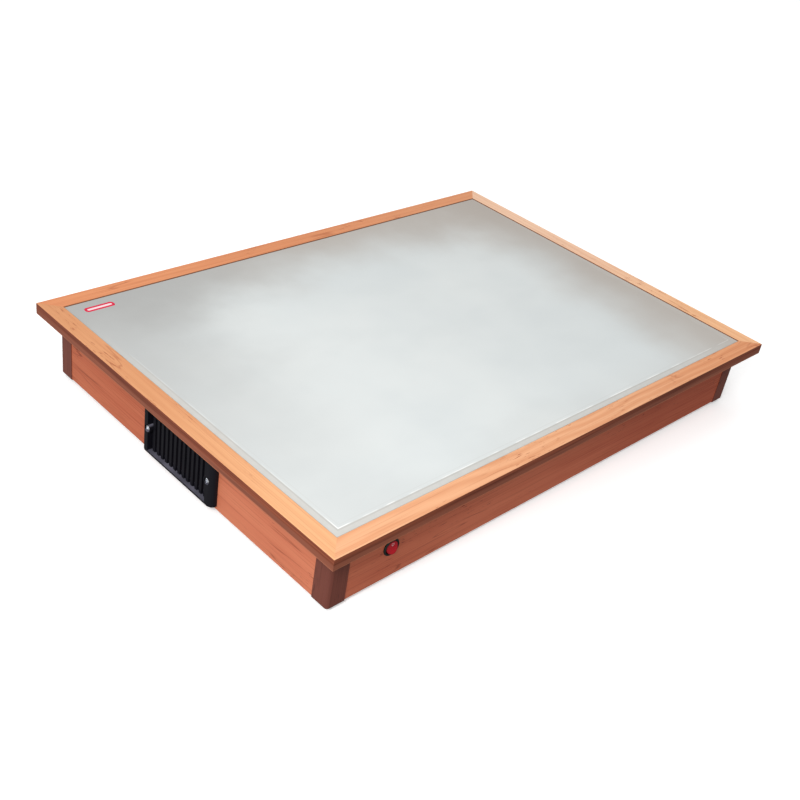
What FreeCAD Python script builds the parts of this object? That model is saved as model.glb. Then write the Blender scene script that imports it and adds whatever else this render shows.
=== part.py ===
"""Wooden light box: a mitred frame holds a lift-out glass top over four fluorescent tubes.

Millimetres, +Z up.  The origin is the middle of the footprint, on the surface the feet stand on.
X runs along the long side, the switch is on the front (-Y) and the grille is on the left (-X).
"""
import FreeCAD, Part
import math
import os
import types

import Sketcher
from FreeCAD import Placement, Rotation, Vector

# --------------------------------------------------------------------------- driving dimensions

DIMENSIONS = (
    # outline
    ("frame_length", 840), ("frame_width", 600), ("frame_thickness", 16), ("overhang", 22),
    ("post_height", 85), ("post_side", 26), ("post_edge_radius", 4.5), ("post_foot_radius", 1.5),
    ("foot_height", 5), ("foot_radius", 8), ("foot_bevel", 1), ("foot_bore_gap", 0.2), ("arris", 0.6),
    # top frame, glass and seat
    ("rail_face", 25), ("ledge_setback", 2), ("glass_recess", 1), ("glass_thickness", 5),
    ("glass_gap", 0.6), ("diffuser_thickness", 3), ("tape_thickness", 0.5), ("tape_setback", 2),
    ("biscuit_length", 18), ("biscuit_width", 12), ("biscuit_thickness", 4),
    ("badge_length", 43), ("badge_width", 11), ("badge_thickness", 0.3), ("badge_radius", 4.5),
    ("badge_from_side", 66), ("badge_from_back", 46),
    # panels
    ("panel_thickness", 15), ("panel_inset", 1), ("panel_lift", 1.5),
    ("tongue_length", 8), ("tongue_thickness", 6), ("joint_gap", 0.1), ("frame_screw_inset", 110),
    # floor of the case
    ("base_thickness", 6), ("base_lift", 2.5), ("base_gap", 0.5), ("cleat_side", 12),
    ("cleat_to_post", 4), ("base_screw_inset", 60),
    ("air_hole_radius", 6), ("air_hole_pitch", 40), ("air_hole_count", 11), ("tray_hole_radius", 5),
    # lamps
    ("lamp_count", 4), ("lamp_to_tray_side", 55), ("lamp_height", 40), ("lamp_radius", 13),
    ("cap_length", 16), ("cap_wall", 0.6), ("cap_end", 1.2), ("cap_bevel", 1), ("tube_wall", 0.9),
    ("pin_radius", 1.18), ("pin_length", 7), ("pin_spacing", 12.7), ("pin_room", 1),
    ("holder_thickness", 14), ("holder_gap", 0.8), ("holder_rim", 1), ("holder_socket_radius", 8.6),
    ("holder_slot", 3.2),
    # reflector tray and control gear
    ("tray_end_margin", 22.2), ("tray_to_gear", 6), ("tray_sheet", 1), ("tray_side", 16),
    ("tray_screw_inset", 24), ("short_screw_length", 5.5),
    ("ballast_width", 28), ("ballast_height", 22), ("ballast_end_space", 35), ("ballast_middle_gap", 13),
    ("ballast_tab", 12), ("ballast_tab_sheet", 1.5), ("gear_to_wall", 16),
    ("terminal_length", 52), ("terminal_width", 18), ("terminal_height", 15), ("terminal_step", 9),
    ("terminal_ridge", 10), ("terminal_end_space", 86), ("terminal_pitch", 8), ("terminal_count", 6),
    ("terminal_hole_radius", 2), ("terminal_hole_depth", 7.5),
    # rocker switch
    ("switch_from_left", 111), ("switch_height", 52.5), ("barrel_radius", 10.25), ("bezel_lip", 1.25),
    ("bezel_flange", 2), ("barrel_gap", 0.1), ("barrel_depth", 17), ("barrel_wall", 0.85),
    ("bore_depth", 13), ("rocker_gap", 1), ("rocker_slope", 10), ("rocker_back", 2.5),
    ("rocker_face", 3.6), ("pivot_depth", 3), ("trunnion_radius", 1.2), ("trunnion_gap", 0.05),
    ("trunnion_end_gap", 0.45), ("plunger_radius", 1.4), ("plunger_reach", 9.2),
    ("contact_length", 13.2), ("contact_width", 4), ("contact_sheet", 0.8), ("contact_gap", 0.5),
    ("contact_tilt", 4), ("blade_width", 4.8), ("blade_sheet", 0.8), ("blade_reach", 9),
    ("blade_inside", 1), ("blade_spacing", 6.5), ("bezel_bevel", 0.8),
    ("switch_recess_margin", 4.75), ("switch_wall", 4),
    # ventilation grille
    ("grille_length", 146), ("grille_shift", -2.5), ("grille_depth", 9.5), ("grille_lift", 4),
    ("grille_top_gap", 8), ("grille_rim", 3.5), ("grille_end", 13), ("grille_web", 2.2),
    ("grille_corner", 8.5), ("grille_edge", 1.2), ("rib_margin", 6.6), ("rib_count", 13),
    ("rib_width", 4.6), ("rib_depth", 2.1), ("slot_width", 3), ("slot_margin", 6),
    ("vent_screw_inset", 11), ("vent_boss_radius", 6.2), ("vent_bore_radius", 4.8),
    ("vent_bore_depth", 3.4), ("vent_window_margin", 8), ("vent_window_height", 38),
    ("vent_window_bar", 8),
    # power inlet
    ("inlet_from_left", 120), ("inlet_height", 48), ("inlet_length", 27), ("inlet_body_height", 20),
    ("inlet_depth", 23), ("inlet_flange_length", 50), ("inlet_flange_height", 23),
    ("inlet_flange", 3), ("inlet_gap", 0.2), ("socket_length", 24), ("socket_height", 16.5),
    ("socket_depth", 17), ("socket_bevel", 4.5), ("inlet_blade_height", 4), ("inlet_blade_sheet", 2),
    ("inlet_blade_reach", 13), ("inlet_blade_spacing", 14), ("inlet_earth_rise", 4),
    ("inlet_screw_spacing", 40),
    # screws
    ("screw_gap", 0.05), ("screw_cone", 2.5), ("recess_arm", 2.6), ("recess_slot", 0.9),
    ("recess_depth", 1.3), ("pan_head_radius", 4), ("pan_crown_radius", 2.5), ("pan_head_height", 2.6),
    ("pan_dome", 1.2), ("pan_shank_radius", 1.7),
    ("pan_length", 18), ("flat_head_radius", 3.5), ("flat_head_height", 2), ("flat_shank_radius", 1.7),
    ("flat_length", 15), ("frame_screw_length", 30), ("foot_head_height", 2),
    # wiring
    ("lead_radius", 2.5), ("lead_rise", 7), ("lead_corridor", 7.5), ("lead_slack", 0.3),
    ("lead_bend", 12), ("lead_stub", 20), ("lead_slope", 30), ("lamp_lead_rise", 3),
    ("bus_rise", 6), ("bus_ramp", 18), ("bus_corner_x", 34), ("bus_corner_y", 26),
    ("clip_width", 8), ("clip_side", 5), ("clip_pitch", 180), ("clip_round", 2),
    ("boot_wall", 1), ("boot_length", 16), ("boot_inset", 0.65), ("boot_round", 2), ("boot_taper", 3),
)

# How far a cut runs past the face that it opens, and a rib into the wall that it joins.
OVERRUN = 1

doc = FreeCAD.newDocument("light_box")


class Size:
    """A number from the sheet, together with the expression that works it out."""

    def __init__(self, value, text):
        self.value = float(value)
        self.text = text

    def __add__(self, other):
        other = size(other)
        return Size(self.value + other.value, f"({self.text} + {other.text})")

    def __radd__(self, other):
        return size(other) + self

    def __sub__(self, other):
        other = size(other)
        return Size(self.value - other.value, f"({self.text} - {other.text})")

    def __rsub__(self, other):
        return size(other) - self

    def __mul__(self, other):
        other = size(other)
        return Size(self.value * other.value, f"({self.text} * {other.text})")

    def __rmul__(self, other):
        return size(other) * self

    def __truediv__(self, other):
        other = size(other)
        return Size(self.value / other.value, f"({self.text} / {other.text})")

    def __neg__(self):
        return Size(-self.value, f"(-{self.text})")


def size(number):
    """A plain number or a Size, as a Size."""
    if isinstance(number, Size):
        return number
    return Size(number, f"({float(number)})")


def make_sheet():
    """Write the driving dimensions to the sheet and return them as named Sizes."""
    sheet = doc.addObject("Spreadsheet::Sheet", "Dims")
    named = types.SimpleNamespace()
    for row, (alias, number) in enumerate(DIMENSIONS, 1):
        sheet.set(f"A{row}", alias)
        sheet.set(f"B{row}", str(number))
        sheet.setAlias(f"B{row}", alias)
        setattr(named, alias, Size(number, f"Dims.{alias}"))
    doc.recompute()
    return named


D = make_sheet()
NODES = []

# Levels and planes that several pieces share.
POST_BOTTOM = D.foot_height
FRAME_BOTTOM = D.foot_height + D.post_height
TOP = FRAME_BOTTOM + D.frame_thickness
PANEL_BOTTOM = POST_BOTTOM + D.panel_lift
BASE_BOTTOM = PANEL_BOTTOM + D.base_lift
BASE_TOP = BASE_BOTTOM + D.base_thickness
TRAY_TOP = BASE_TOP + D.tray_sheet
GLASS_TOP = TOP - D.glass_recess
GLASS_BOTTOM = GLASS_TOP - D.glass_thickness
DIFFUSER_BOTTOM = GLASS_BOTTOM - D.diffuser_thickness
LEDGE_TOP = DIFFUSER_BOTTOM - D.tape_thickness
POST_X = D.frame_length / 2 - D.overhang
POST_Y = D.frame_width / 2 - D.overhang
PANEL_X = POST_X - D.panel_inset
PANEL_Y = POST_Y - D.panel_inset
INNER_X = PANEL_X - D.panel_thickness
INNER_Y = PANEL_Y - D.panel_thickness
APERTURE_EDGE = D.overhang + D.panel_inset + D.panel_thickness - D.ledge_setback
TAPE_WIDTH = APERTURE_EDGE - D.rail_face - D.tape_setback

# The gear stands along each end wall, the tray between it, and the lamps' holders on the tray.
GEAR_X = INNER_X - D.gear_to_wall - D.ballast_width / 2
TRAY_X = GEAR_X - D.ballast_width / 2 - D.tray_to_gear
TRAY_Y = INNER_Y - D.cleat_side - 2 * D.lead_corridor
CORRIDOR_Y = TRAY_Y + D.lead_corridor
LAMP_END = TRAY_X - D.tray_end_margin - D.holder_thickness - D.holder_gap
LAMP_COUNT = int(D.lamp_count.value)
LAMP_PITCH = 2 * (TRAY_Y - D.lamp_to_tray_side) / (LAMP_COUNT - 1)
LAMP_ROWS = [(index - (LAMP_COUNT - 1) / 2) * LAMP_PITCH for index in range(LAMP_COUNT)]
AIR_ROWS = [(index - LAMP_COUNT / 2 + 1) * LAMP_PITCH for index in range(LAMP_COUNT - 1)]
LAMP_Z = BASE_BOTTOM + D.lamp_height
HOLDER_RADIUS = D.lamp_radius + D.holder_rim
BALLAST_LENGTH = INNER_Y - D.ballast_end_space - D.ballast_middle_gap - 2 * D.ballast_tab
BALLAST_Y = INNER_Y - D.ballast_end_space - D.ballast_tab - BALLAST_LENGTH / 2
TERMINAL_Y = INNER_Y - D.terminal_end_space - D.terminal_length / 2
LEAD_Z = BASE_TOP + D.lead_rise
SWITCH_X = D.switch_from_left - D.frame_length / 2
SWITCH_Z = D.switch_height
INLET_X = D.inlet_from_left - D.frame_length / 2
INLET_Z = D.inlet_height
GRILLE_Y = D.grille_shift
GRILLE_BOTTOM = PANEL_BOTTOM + D.grille_lift
GRILLE_TOP = FRAME_BOTTOM - D.grille_top_gap
GRILLE_Z = (GRILLE_BOTTOM + GRILLE_TOP) / 2
GRILLE_FIELD = D.grille_length / 2 - D.grille_end
VENT_SCREW_REACH = D.grille_length / 2 - D.vent_screw_inset
BEZEL_RADIUS = D.barrel_radius + D.bezel_lip
BORE_RADIUS = D.barrel_radius - D.barrel_wall
ROCKER_RADIUS = BORE_RADIUS - D.rocker_gap

# --------------------------------------------------------------------------- drawing helpers


def bind(thing, prop, number):
    """Tie a property to its expression."""
    thing.setExpression(prop, size(number).text)


def add_node(thing):
    """Mark a finished object as one sub-part of the assembly."""
    thing.Label = thing.Name
    NODES.append(thing)
    return thing


def new_body(name):
    return doc.addObject("PartDesign::Body", name)


def new_sketch(body, name, role, height=0):
    """A sketch on one of the body's own origin planes, moved along the plane's normal."""
    sketch = body.newObject("Sketcher::SketchObject", f"{body.Name}_{name}")
    plane = next(item for item in body.Origin.OriginFeatures if item.Role == role)
    sketch.AttachmentSupport = (plane, "")
    sketch.MapMode = "FlatFace"
    bind(sketch, "AttachmentOffset.Base.z", height)
    return sketch


def pin_point(sketch, geometry, position, point):
    """Place one point of a sketch by its two distances from the sketch's origin."""
    for kind, number in zip(("DistanceX", "DistanceY"), point):
        number = size(number)
        place = sketch.addConstraint(Sketcher.Constraint(kind, -1, 1, geometry, position, number.value))
        sketch.setExpression(f"Constraints[{place}]", number.text)


def polygon(sketch, points):
    """A closed outline through the points."""
    corners = [Vector(size(x).value, size(y).value, 0) for x, y in points]
    first = sketch.GeometryCount
    count = len(corners)
    for index in range(count):
        sketch.addGeometry(Part.LineSegment(corners[index], corners[(index + 1) % count]))
    for index in range(count):
        following = first + (index + 1) % count
        sketch.addConstraint(Sketcher.Constraint("Coincident", first + index, 2, following, 1))
        pin_point(sketch, first + index, 1, points[index])
    return sketch


def rectangle(sketch, low, high):
    return polygon(sketch, [low, (high[0], low[1]), high, (low[0], high[1])])


def circle(sketch, centre, radius):
    middle = Vector(size(centre[0]).value, size(centre[1]).value, 0)
    ring = sketch.addGeometry(Part.Circle(middle, Vector(0, 0, 1), size(radius).value))
    pin_point(sketch, ring, 3, centre)
    place = sketch.addConstraint(Sketcher.Constraint("Radius", ring, size(radius).value))
    sketch.setExpression(f"Constraints[{place}]", size(radius).text)
    return sketch


def pad(sketch, length, against=False):
    feature = sketch.getParentGeoFeatureGroup().newObject("PartDesign::Pad", f"{sketch.Name}_pad")
    feature.Profile = sketch
    bind(feature, "Length", length)
    feature.Reversed = against
    return feature


def pocket(sketch, depth, against=False):
    """Cut to a depth, against the plane's normal unless the normal points out of the wood."""
    feature = sketch.getParentGeoFeatureGroup().newObject("PartDesign::Pocket", f"{sketch.Name}_cut")
    feature.Profile = sketch
    bind(feature, "Length", depth)
    feature.Reversed = against
    return feature


def revolve(sketch, axis="V_Axis"):
    feature = sketch.getParentGeoFeatureGroup().newObject("PartDesign::Revolution", f"{sketch.Name}_turn")
    feature.Profile = sketch
    feature.ReferenceAxis = (sketch, [axis])
    feature.Angle = 360
    return feature


def repeat(feature, sketch, axis, span, count):
    """Repeat a cut in a row along one of its sketch's axes."""
    body = sketch.getParentGeoFeatureGroup()
    row = body.newObject("PartDesign::LinearPattern", f"{feature.Name}_row")
    row.Originals = [feature]
    row.Direction = (sketch, [axis])
    bind(row, "Length", span)
    bind(row, "Occurrences", count)
    body.Tip = row
    return row


def edges_where(body, test):
    """Names of the edges of the body so far that pass a test on their two ends and middle."""
    doc.recompute()
    names = []
    for index, edge in enumerate(body.Tip.Shape.Edges, 1):
        middle = edge.valueAt((edge.FirstParameter + edge.LastParameter) / 2)
        if test(edge, middle):
            names.append(f"Edge{index}")
    return names


def soften(body, test, radius, kind="Fillet"):
    """Round or chamfer the edges that pass a test."""
    names = edges_where(body, test)
    base = body.Tip
    feature = body.newObject(f"PartDesign::{kind}", f"{body.Name}_{kind.lower()}_{len(body.Group)}")
    feature.Base = (base, names)
    bind(feature, "Radius" if kind == "Fillet" else "Size", radius)
    return feature


def is_upright(edge):
    box = edge.BoundBox
    return box.XLength < 0.01 and box.YLength < 0.01


def near(number, target, slack=0.01):
    return abs(number - size(target).value) < slack


def block(name, low, high):
    """A box between two corners."""
    thing = doc.addObject("Part::Box", name)
    for prop, start, end in zip(("Length", "Width", "Height"), low, high):
        bind(thing, prop, size(end) - start)
    for letter, start in zip("xyz", low):
        bind(thing, f"Placement.Base.{letter}", start)
    return thing


def group(name, pieces):
    """Separate solids under one name."""
    thing = doc.addObject("Part::Compound", name)
    thing.Links = pieces
    return add_node(thing)


def links_to(name, master, places):
    """Placed links to one piece: each place is a point and a rotation."""
    links = []
    for number, (point, turn) in enumerate(places, 1):
        link = doc.addObject("App::Link", f"{name}_{number}")
        link.LinkedObject = master
        link.Placement = Placement(Vector(), turn)
        for letter, place in zip("xyz", point):
            bind(link, f"Placement.Base.{letter}", place)
        links.append(link)
    return links


def copies(name, master, places):
    """Copies of one piece, as separate solids under one name."""
    return group(name, links_to(name, master, places))


def drilled(name, blank, holes):
    """The blank with screw holes cut: each entry is a hole's solid and its places."""
    tools = []
    for number, (hole, places) in enumerate(holes, 1):
        tools += links_to(f"{name}_hole{number}", hole, places)
    cutter = doc.addObject("Part::Compound", f"{name}_holes")
    cutter.Links = tools
    thing = doc.addObject("Part::Cut", name)
    thing.Base = blank
    thing.Tool = cutter
    return thing


# Turns that take a piece drawn head up (+Z) to the side that its head faces.
HEAD_UP = Rotation()
HEAD_DOWN = Rotation(Vector(1, 0, 0), 180)
HEAD_LEFT = Rotation(Vector(0, 1, 0), -90)
HEAD_BACK = Rotation(Vector(1, 0, 0), -90)


# --------------------------------------------------------------------------- screws


def cross_recess(body, head_top):
    """The cross in a screw's head."""
    arm = D.recess_arm
    half = D.recess_slot / 2
    sketch = new_sketch(body, "cross", "XY_Plane", head_top)
    polygon(sketch, [(arm, -half), (arm, half), (half, half), (half, arm), (-half, arm), (-half, half),
                     (-arm, half), (-arm, -half), (-half, -half), (-half, -arm), (half, -arm),
                     (half, -half)])
    pocket(sketch, D.recess_depth)


def pan_screw(name, length, head_height):
    """A screw with a low domed head; the head's underside is at zero."""
    body = new_body(name)
    sketch = new_sketch(body, "half", "XZ_Plane")
    polygon(sketch, [(0, head_height), (D.pan_crown_radius, head_height),
                     (D.pan_head_radius, head_height - D.pan_dome), (D.pan_head_radius, 0),
                     (D.pan_shank_radius, 0),
                     (D.pan_shank_radius, D.screw_cone - length), (0, -length)])
    revolve(sketch)
    cross_recess(body, head_height)
    return body


def flat_screw(name, length):
    """A countersunk screw; the flat of its head is at zero."""
    body = new_body(name)
    sketch = new_sketch(body, "half", "XZ_Plane")
    polygon(sketch, [(0, 0), (D.flat_head_radius, 0), (D.flat_shank_radius, -D.flat_head_height),
                     (D.flat_shank_radius, D.screw_cone - length), (0, -length)])
    revolve(sketch)
    cross_recess(body, 0)
    return body


def flat_screw_hole(name, length):
    """The hole that a countersunk screw fills, with its clearance all round."""
    body = new_body(name)
    gap = D.screw_gap
    sketch = new_sketch(body, "half", "XZ_Plane")
    polygon(sketch, [(0, OVERRUN), (D.flat_head_radius + gap, OVERRUN), (D.flat_head_radius + gap, -gap),
                     (D.flat_shank_radius + gap, -D.flat_head_height - gap),
                     (D.flat_shank_radius + gap, D.screw_cone - length - 2 * gap),
                     (0, -length - 2 * gap)])
    revolve(sketch)
    return body


def plain_hole(name, length):
    """The hole that a pan screw's shank fills, with its clearance all round."""
    body = new_body(name)
    gap = D.screw_gap
    sketch = new_sketch(body, "half", "XZ_Plane")
    polygon(sketch, [(0, 0), (D.pan_shank_radius + gap, 0),
                     (D.pan_shank_radius + gap, D.screw_cone - length - 2 * gap), (0, -length - 2 * gap)])
    revolve(sketch)
    return body


# --------------------------------------------------------------------------- top frame

# Each side: the angle, anticlockwise from the front, at which its rail or panel stands.
SIDES = (("front", 0), ("right", 90), ("back", 180), ("left", 270))


def side_extents(angle, along_x, along_y):
    """Half length along a side, and distance out to it, for a side at this angle."""
    if angle % 180 == 0:
        return along_x, along_y
    return along_y, along_x


def turned(angle, points):
    """Points drawn for the front side (x along it, y negative outwards), turned to a side."""
    turn = {0: lambda x, y: (x, y), 90: lambda x, y: (-y, x),
            180: lambda x, y: (-x, -y), 270: lambda x, y: (y, -x)}[angle]
    return [turn(size(x), size(y)) for x, y in points]


def trapezoid(angle, outer_inset, inner_inset):
    """Plan of a mitred strip between two insets from the frame's outer edge."""
    half, out = side_extents(angle, D.frame_length / 2, D.frame_width / 2)
    return turned(angle, [(outer_inset - half, outer_inset - out), (half - outer_inset, outer_inset - out),
                          (half - inner_inset, inner_inset - out), (inner_inset - half, inner_inset - out)])


def biscuit_plan(x_side, y_side, grow):
    """Plan of the biscuit across one corner's mitre, grown by a gap."""
    middle_x = x_side * (D.frame_length - D.rail_face) / 2
    middle_y = y_side * (D.frame_width - D.rail_face) / 2
    along = (D.biscuit_length / 2 + grow) * math.sqrt(0.5)
    across = (D.biscuit_width / 2 + grow) * math.sqrt(0.5)
    signs = ((1, 1), (1, -1), (-1, -1), (-1, 1))
    return [(middle_x + x_side * (a * along + b * across), middle_y + y_side * (a * along - b * across))
            for a, b in signs]


def frame_rail(name, angle, drill):
    """One mitred rail: outer face, top rebate for the glass, and slots for the biscuits."""
    body = new_body(f"rail_{name}_blank")
    pad(polygon(new_sketch(body, "plan", "XY_Plane", FRAME_BOTTOM), trapezoid(angle, 0, APERTURE_EDGE)),
        D.frame_thickness)
    rebate = new_sketch(body, "rebate", "XY_Plane", TOP)
    polygon(rebate, trapezoid(angle, D.rail_face, APERTURE_EDGE + OVERRUN))
    pocket(rebate, TOP - LEDGE_TOP)
    half, out = side_extents(angle, D.frame_length / 2, D.frame_width / 2)
    out_axis = 1 if angle % 180 == 0 else 0
    soften(body, lambda edge, middle: near(abs(middle[out_axis]), out) and not is_upright(edge)
           and edge.Length > out.value, D.arris)
    slot_top = FRAME_BOTTOM + D.frame_thickness / 2 + D.biscuit_thickness / 2 + D.joint_gap
    slots = new_sketch(body, "slots", "XY_Plane", slot_top)
    for end in (-1, 1):
        x_side, y_side = turned(angle, [(end, -1)])[0]
        polygon(slots, biscuit_plan(x_side.value, y_side.value, D.joint_gap))
    pocket(slots, D.biscuit_thickness + 2 * D.joint_gap)
    return add_node(drilled(f"frame_rail_{name}", body, [(drill, frame_screw_places()[name])]))


def mitre_biscuits():
    """Flat beech biscuits glued across the four mitres."""
    pieces = []
    bottom = FRAME_BOTTOM + D.frame_thickness / 2 - D.biscuit_thickness / 2
    for x_side in (-1, 1):
        for y_side in (-1, 1):
            body = new_body(f"biscuit_{len(pieces) + 1}")
            plan = new_sketch(body, "plan", "XY_Plane", bottom)
            pad(polygon(plan, biscuit_plan(x_side, y_side, 0)), D.biscuit_thickness)
            pieces.append(body)
    group("mitre_biscuits", pieces)


def frame_screw_places():
    """Screws through the ledge, along the middle of the panels' top edges."""
    along_x = INNER_X - D.frame_screw_inset
    along_y = INNER_Y - D.frame_screw_inset
    x_line = PANEL_X - D.panel_thickness / 2
    y_line = PANEL_Y - D.panel_thickness / 2
    spots = {"front": [(x, -y_line) for x in (-along_x, 0, along_x)],
             "back": [(x, y_line) for x in (-along_x, 0, along_x)],
             "left": [(-x_line, y) for y in (-along_y, along_y)],
             "right": [(x_line, y) for y in (-along_y, along_y)]}
    return {side: [((x, y, LEDGE_TOP), HEAD_UP) for x, y in places] for side, places in spots.items()}


# --------------------------------------------------------------------------- case

POSTS = (("front_left", -1, -1), ("front_right", 1, -1), ("back_left", -1, 1), ("back_right", 1, 1))


def post(name, x_side, y_side, foot_hole):
    """A corner post: rounded outer edge, and a stopped groove for each panel's tongue."""
    body = new_body(f"post_{name}_blank")
    outer = (x_side * POST_X, y_side * POST_Y)
    inner = (x_side * (POST_X - D.post_side), y_side * (POST_Y - D.post_side))
    pad(rectangle(new_sketch(body, "plan", "XY_Plane", POST_BOTTOM), inner, outer), D.post_height)
    soften(body, lambda edge, middle: is_upright(edge) and near(middle.x, outer[0])
           and near(middle.y, outer[1]), D.post_edge_radius)
    soften(body, lambda edge, middle: near(middle.z, POST_BOTTOM) and not is_upright(edge)
           and not near(middle.x, inner[0]) and not near(middle.y, inner[1]), D.post_foot_radius)
    middle = D.panel_inset + D.panel_thickness / 2
    half = D.tongue_thickness / 2 + D.joint_gap
    deep = D.tongue_length + 2 * D.joint_gap
    grooves = new_sketch(body, "grooves", "XY_Plane", FRAME_BOTTOM)
    rectangle(grooves, (x_side * (POST_X - middle - half), inner[1]),
              (x_side * (POST_X - middle + half), inner[1] + y_side * deep))
    rectangle(grooves, (inner[0], y_side * (POST_Y - middle - half)),
              (inner[0] + x_side * deep, y_side * (POST_Y - middle + half)))
    pocket(grooves, FRAME_BOTTOM - PANEL_BOTTOM + D.joint_gap)
    add_node(drilled(f"post_{name}", body, [(foot_hole, [foot_screw_place(x_side, y_side)])]))


def foot_centre(x_side, y_side):
    return x_side * (POST_X - D.post_side / 2), y_side * (POST_Y - D.post_side / 2)


def foot_screw_place(x_side, y_side):
    x, y = foot_centre(x_side, y_side)
    return (x, y, D.foot_height / 2), HEAD_DOWN


def panel_blank(name, angle):
    """A side panel with a tongue along each end."""
    body = new_body(f"panel_{name}_blank")
    long_half, out = side_extents(angle, POST_X, POST_Y)
    shoulder = long_half - D.post_side
    end = shoulder + D.tongue_length
    face = D.panel_inset - out
    back = face + D.panel_thickness
    near_tongue = face + D.panel_thickness / 2 - D.tongue_thickness / 2
    far_tongue = near_tongue + D.tongue_thickness
    outline = [(-shoulder, face), (shoulder, face), (shoulder, near_tongue), (end, near_tongue),
               (end, far_tongue), (shoulder, far_tongue), (shoulder, back), (-shoulder, back),
               (-shoulder, far_tongue), (-end, far_tongue), (-end, near_tongue), (-shoulder, near_tongue)]
    pad(polygon(new_sketch(body, "plan", "XY_Plane", PANEL_BOTTOM), turned(angle, outline)),
        FRAME_BOTTOM - PANEL_BOTTOM)
    return body


def panel_front(drill):
    """The front panel, bored for the switch and thinned behind it."""
    body = panel_blank("front", 0)
    hole = new_sketch(body, "switch_hole", "XZ_Plane", PANEL_Y)
    circle(hole, (SWITCH_X, SWITCH_Z), D.barrel_radius + D.barrel_gap)
    pocket(hole, D.panel_thickness)
    recess = new_sketch(body, "switch_recess", "XZ_Plane", INNER_Y)
    circle(recess, (SWITCH_X, SWITCH_Z), D.barrel_radius + D.switch_recess_margin)
    pocket(recess, D.panel_thickness - D.switch_wall, against=True)
    add_node(drilled("panel_front", body, [(drill, frame_screw_places()["front"])]))


def panel_back(drill, inlet_hole):
    """The back panel, cut out for the power inlet."""
    body = panel_blank("back", 180)
    half_x = D.inlet_length / 2 + D.inlet_gap
    half_z = D.inlet_body_height / 2 + D.inlet_gap
    hole = new_sketch(body, "inlet_hole", "XZ_Plane", -PANEL_Y)
    rectangle(hole, (INLET_X - half_x, INLET_Z - half_z), (INLET_X + half_x, INLET_Z + half_z))
    pocket(hole, D.panel_thickness, against=True)
    add_node(drilled("panel_back", body, [(drill, frame_screw_places()["back"]),
                                          (inlet_hole, inlet_screw_places())]))


def panel_left(drill, vent_hole):
    """The left panel, with two air windows behind the grille."""
    body = panel_blank("left", 270)
    windows = new_sketch(body, "windows", "YZ_Plane", -PANEL_X)
    half_z = D.vent_window_height / 2
    for side in (-1, 1):
        close = GRILLE_Y + side * D.vent_window_bar / 2
        far = GRILLE_Y + side * (GRILLE_FIELD - D.vent_window_margin)
        rectangle(windows, (close, GRILLE_Z - half_z), (far, GRILLE_Z + half_z))
    pocket(windows, D.panel_thickness, against=True)
    add_node(drilled("panel_left", body, [(drill, frame_screw_places()["left"]),
                                          (vent_hole, vent_screw_places())]))


def panel_right(drill):
    add_node(drilled("panel_right", panel_blank("right", 90), [(drill, frame_screw_places()["right"])]))


def base_screw_places():
    """Screws up through the base into the cleats, heads down."""
    along_x = INNER_X - D.base_screw_inset
    along_y = INNER_Y - D.base_screw_inset
    x_line = INNER_X - D.cleat_side / 2
    y_line = INNER_Y - D.cleat_side / 2
    spots = [(x, side * y_line) for x in (-along_x, 0, along_x) for side in (-1, 1)]
    spots += [(side * x_line, y) for y in (-along_y, along_y) for side in (-1, 1)]
    return [((x, y, BASE_BOTTOM), HEAD_DOWN) for x, y in spots]


def tray_screw_places():
    half_x = TRAY_X - D.tray_screw_inset
    half_y = TRAY_Y - D.tray_screw_inset
    return [((x * half_x, y * half_y, TRAY_TOP), HEAD_UP) for x in (-1, 1) for y in (-1, 1)]


def air_holes(body, top, depth, radius):
    """Rows of air holes, one row between each two lamps."""
    span = D.air_hole_pitch * (D.air_hole_count - 1)
    for number, row in enumerate(AIR_ROWS, 1):
        spot = new_sketch(body, f"air{number}", "XY_Plane", top)
        circle(spot, (-span / 2, row), radius)
        repeat(pocket(spot, depth), spot, "H_Axis", span, D.air_hole_count)


def base_panel(flat_hole, short_hole):
    """Plywood base, notched round the posts, with rows of air holes between the lamps."""
    body = new_body("base_blank")
    x = INNER_X - D.base_gap
    y = INNER_Y - D.base_gap
    x_notch = POST_X - D.post_side - D.base_gap
    y_notch = POST_Y - D.post_side - D.base_gap
    outline = [(-x_notch, -y), (x_notch, -y), (x_notch, -y_notch), (x, -y_notch), (x, y_notch),
               (x_notch, y_notch), (x_notch, y), (-x_notch, y), (-x_notch, y_notch), (-x, y_notch),
               (-x, -y_notch), (-x_notch, -y_notch)]
    pad(polygon(new_sketch(body, "plan", "XY_Plane", BASE_BOTTOM), outline), D.base_thickness)
    air_holes(body, BASE_TOP, D.base_thickness, D.air_hole_radius)
    add_node(drilled("base_panel", body, [(flat_hole, base_screw_places()),
                                          (short_hole, tray_screw_places() + gear_screw_places())]))


def base_cleats(flat_hole):
    """Four strips glued inside the panels, which the base is screwed up to."""
    end_x = POST_X - D.post_side - D.cleat_to_post
    end_y = POST_Y - D.post_side - D.cleat_to_post
    bars = []
    for side in (-1, 1):
        far = side * INNER_Y
        close = side * (INNER_Y - D.cleat_side)
        low, high = (close, far) if side > 0 else (far, close)
        bars.append(block(f"cleat_long_{side + 2}", (-end_x, low, BASE_TOP),
                          (end_x, high, BASE_TOP + D.cleat_side)))
        far = side * INNER_X
        close = side * (INNER_X - D.cleat_side)
        low, high = (close, far) if side > 0 else (far, close)
        bars.append(block(f"cleat_short_{side + 2}", (low, -end_y, BASE_TOP),
                          (high, end_y, BASE_TOP + D.cleat_side)))
    bundle = doc.addObject("Part::Compound", "cleat_bars")
    bundle.Links = bars
    add_node(drilled("base_cleats", bundle, [(flat_hole, base_screw_places())]))


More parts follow.
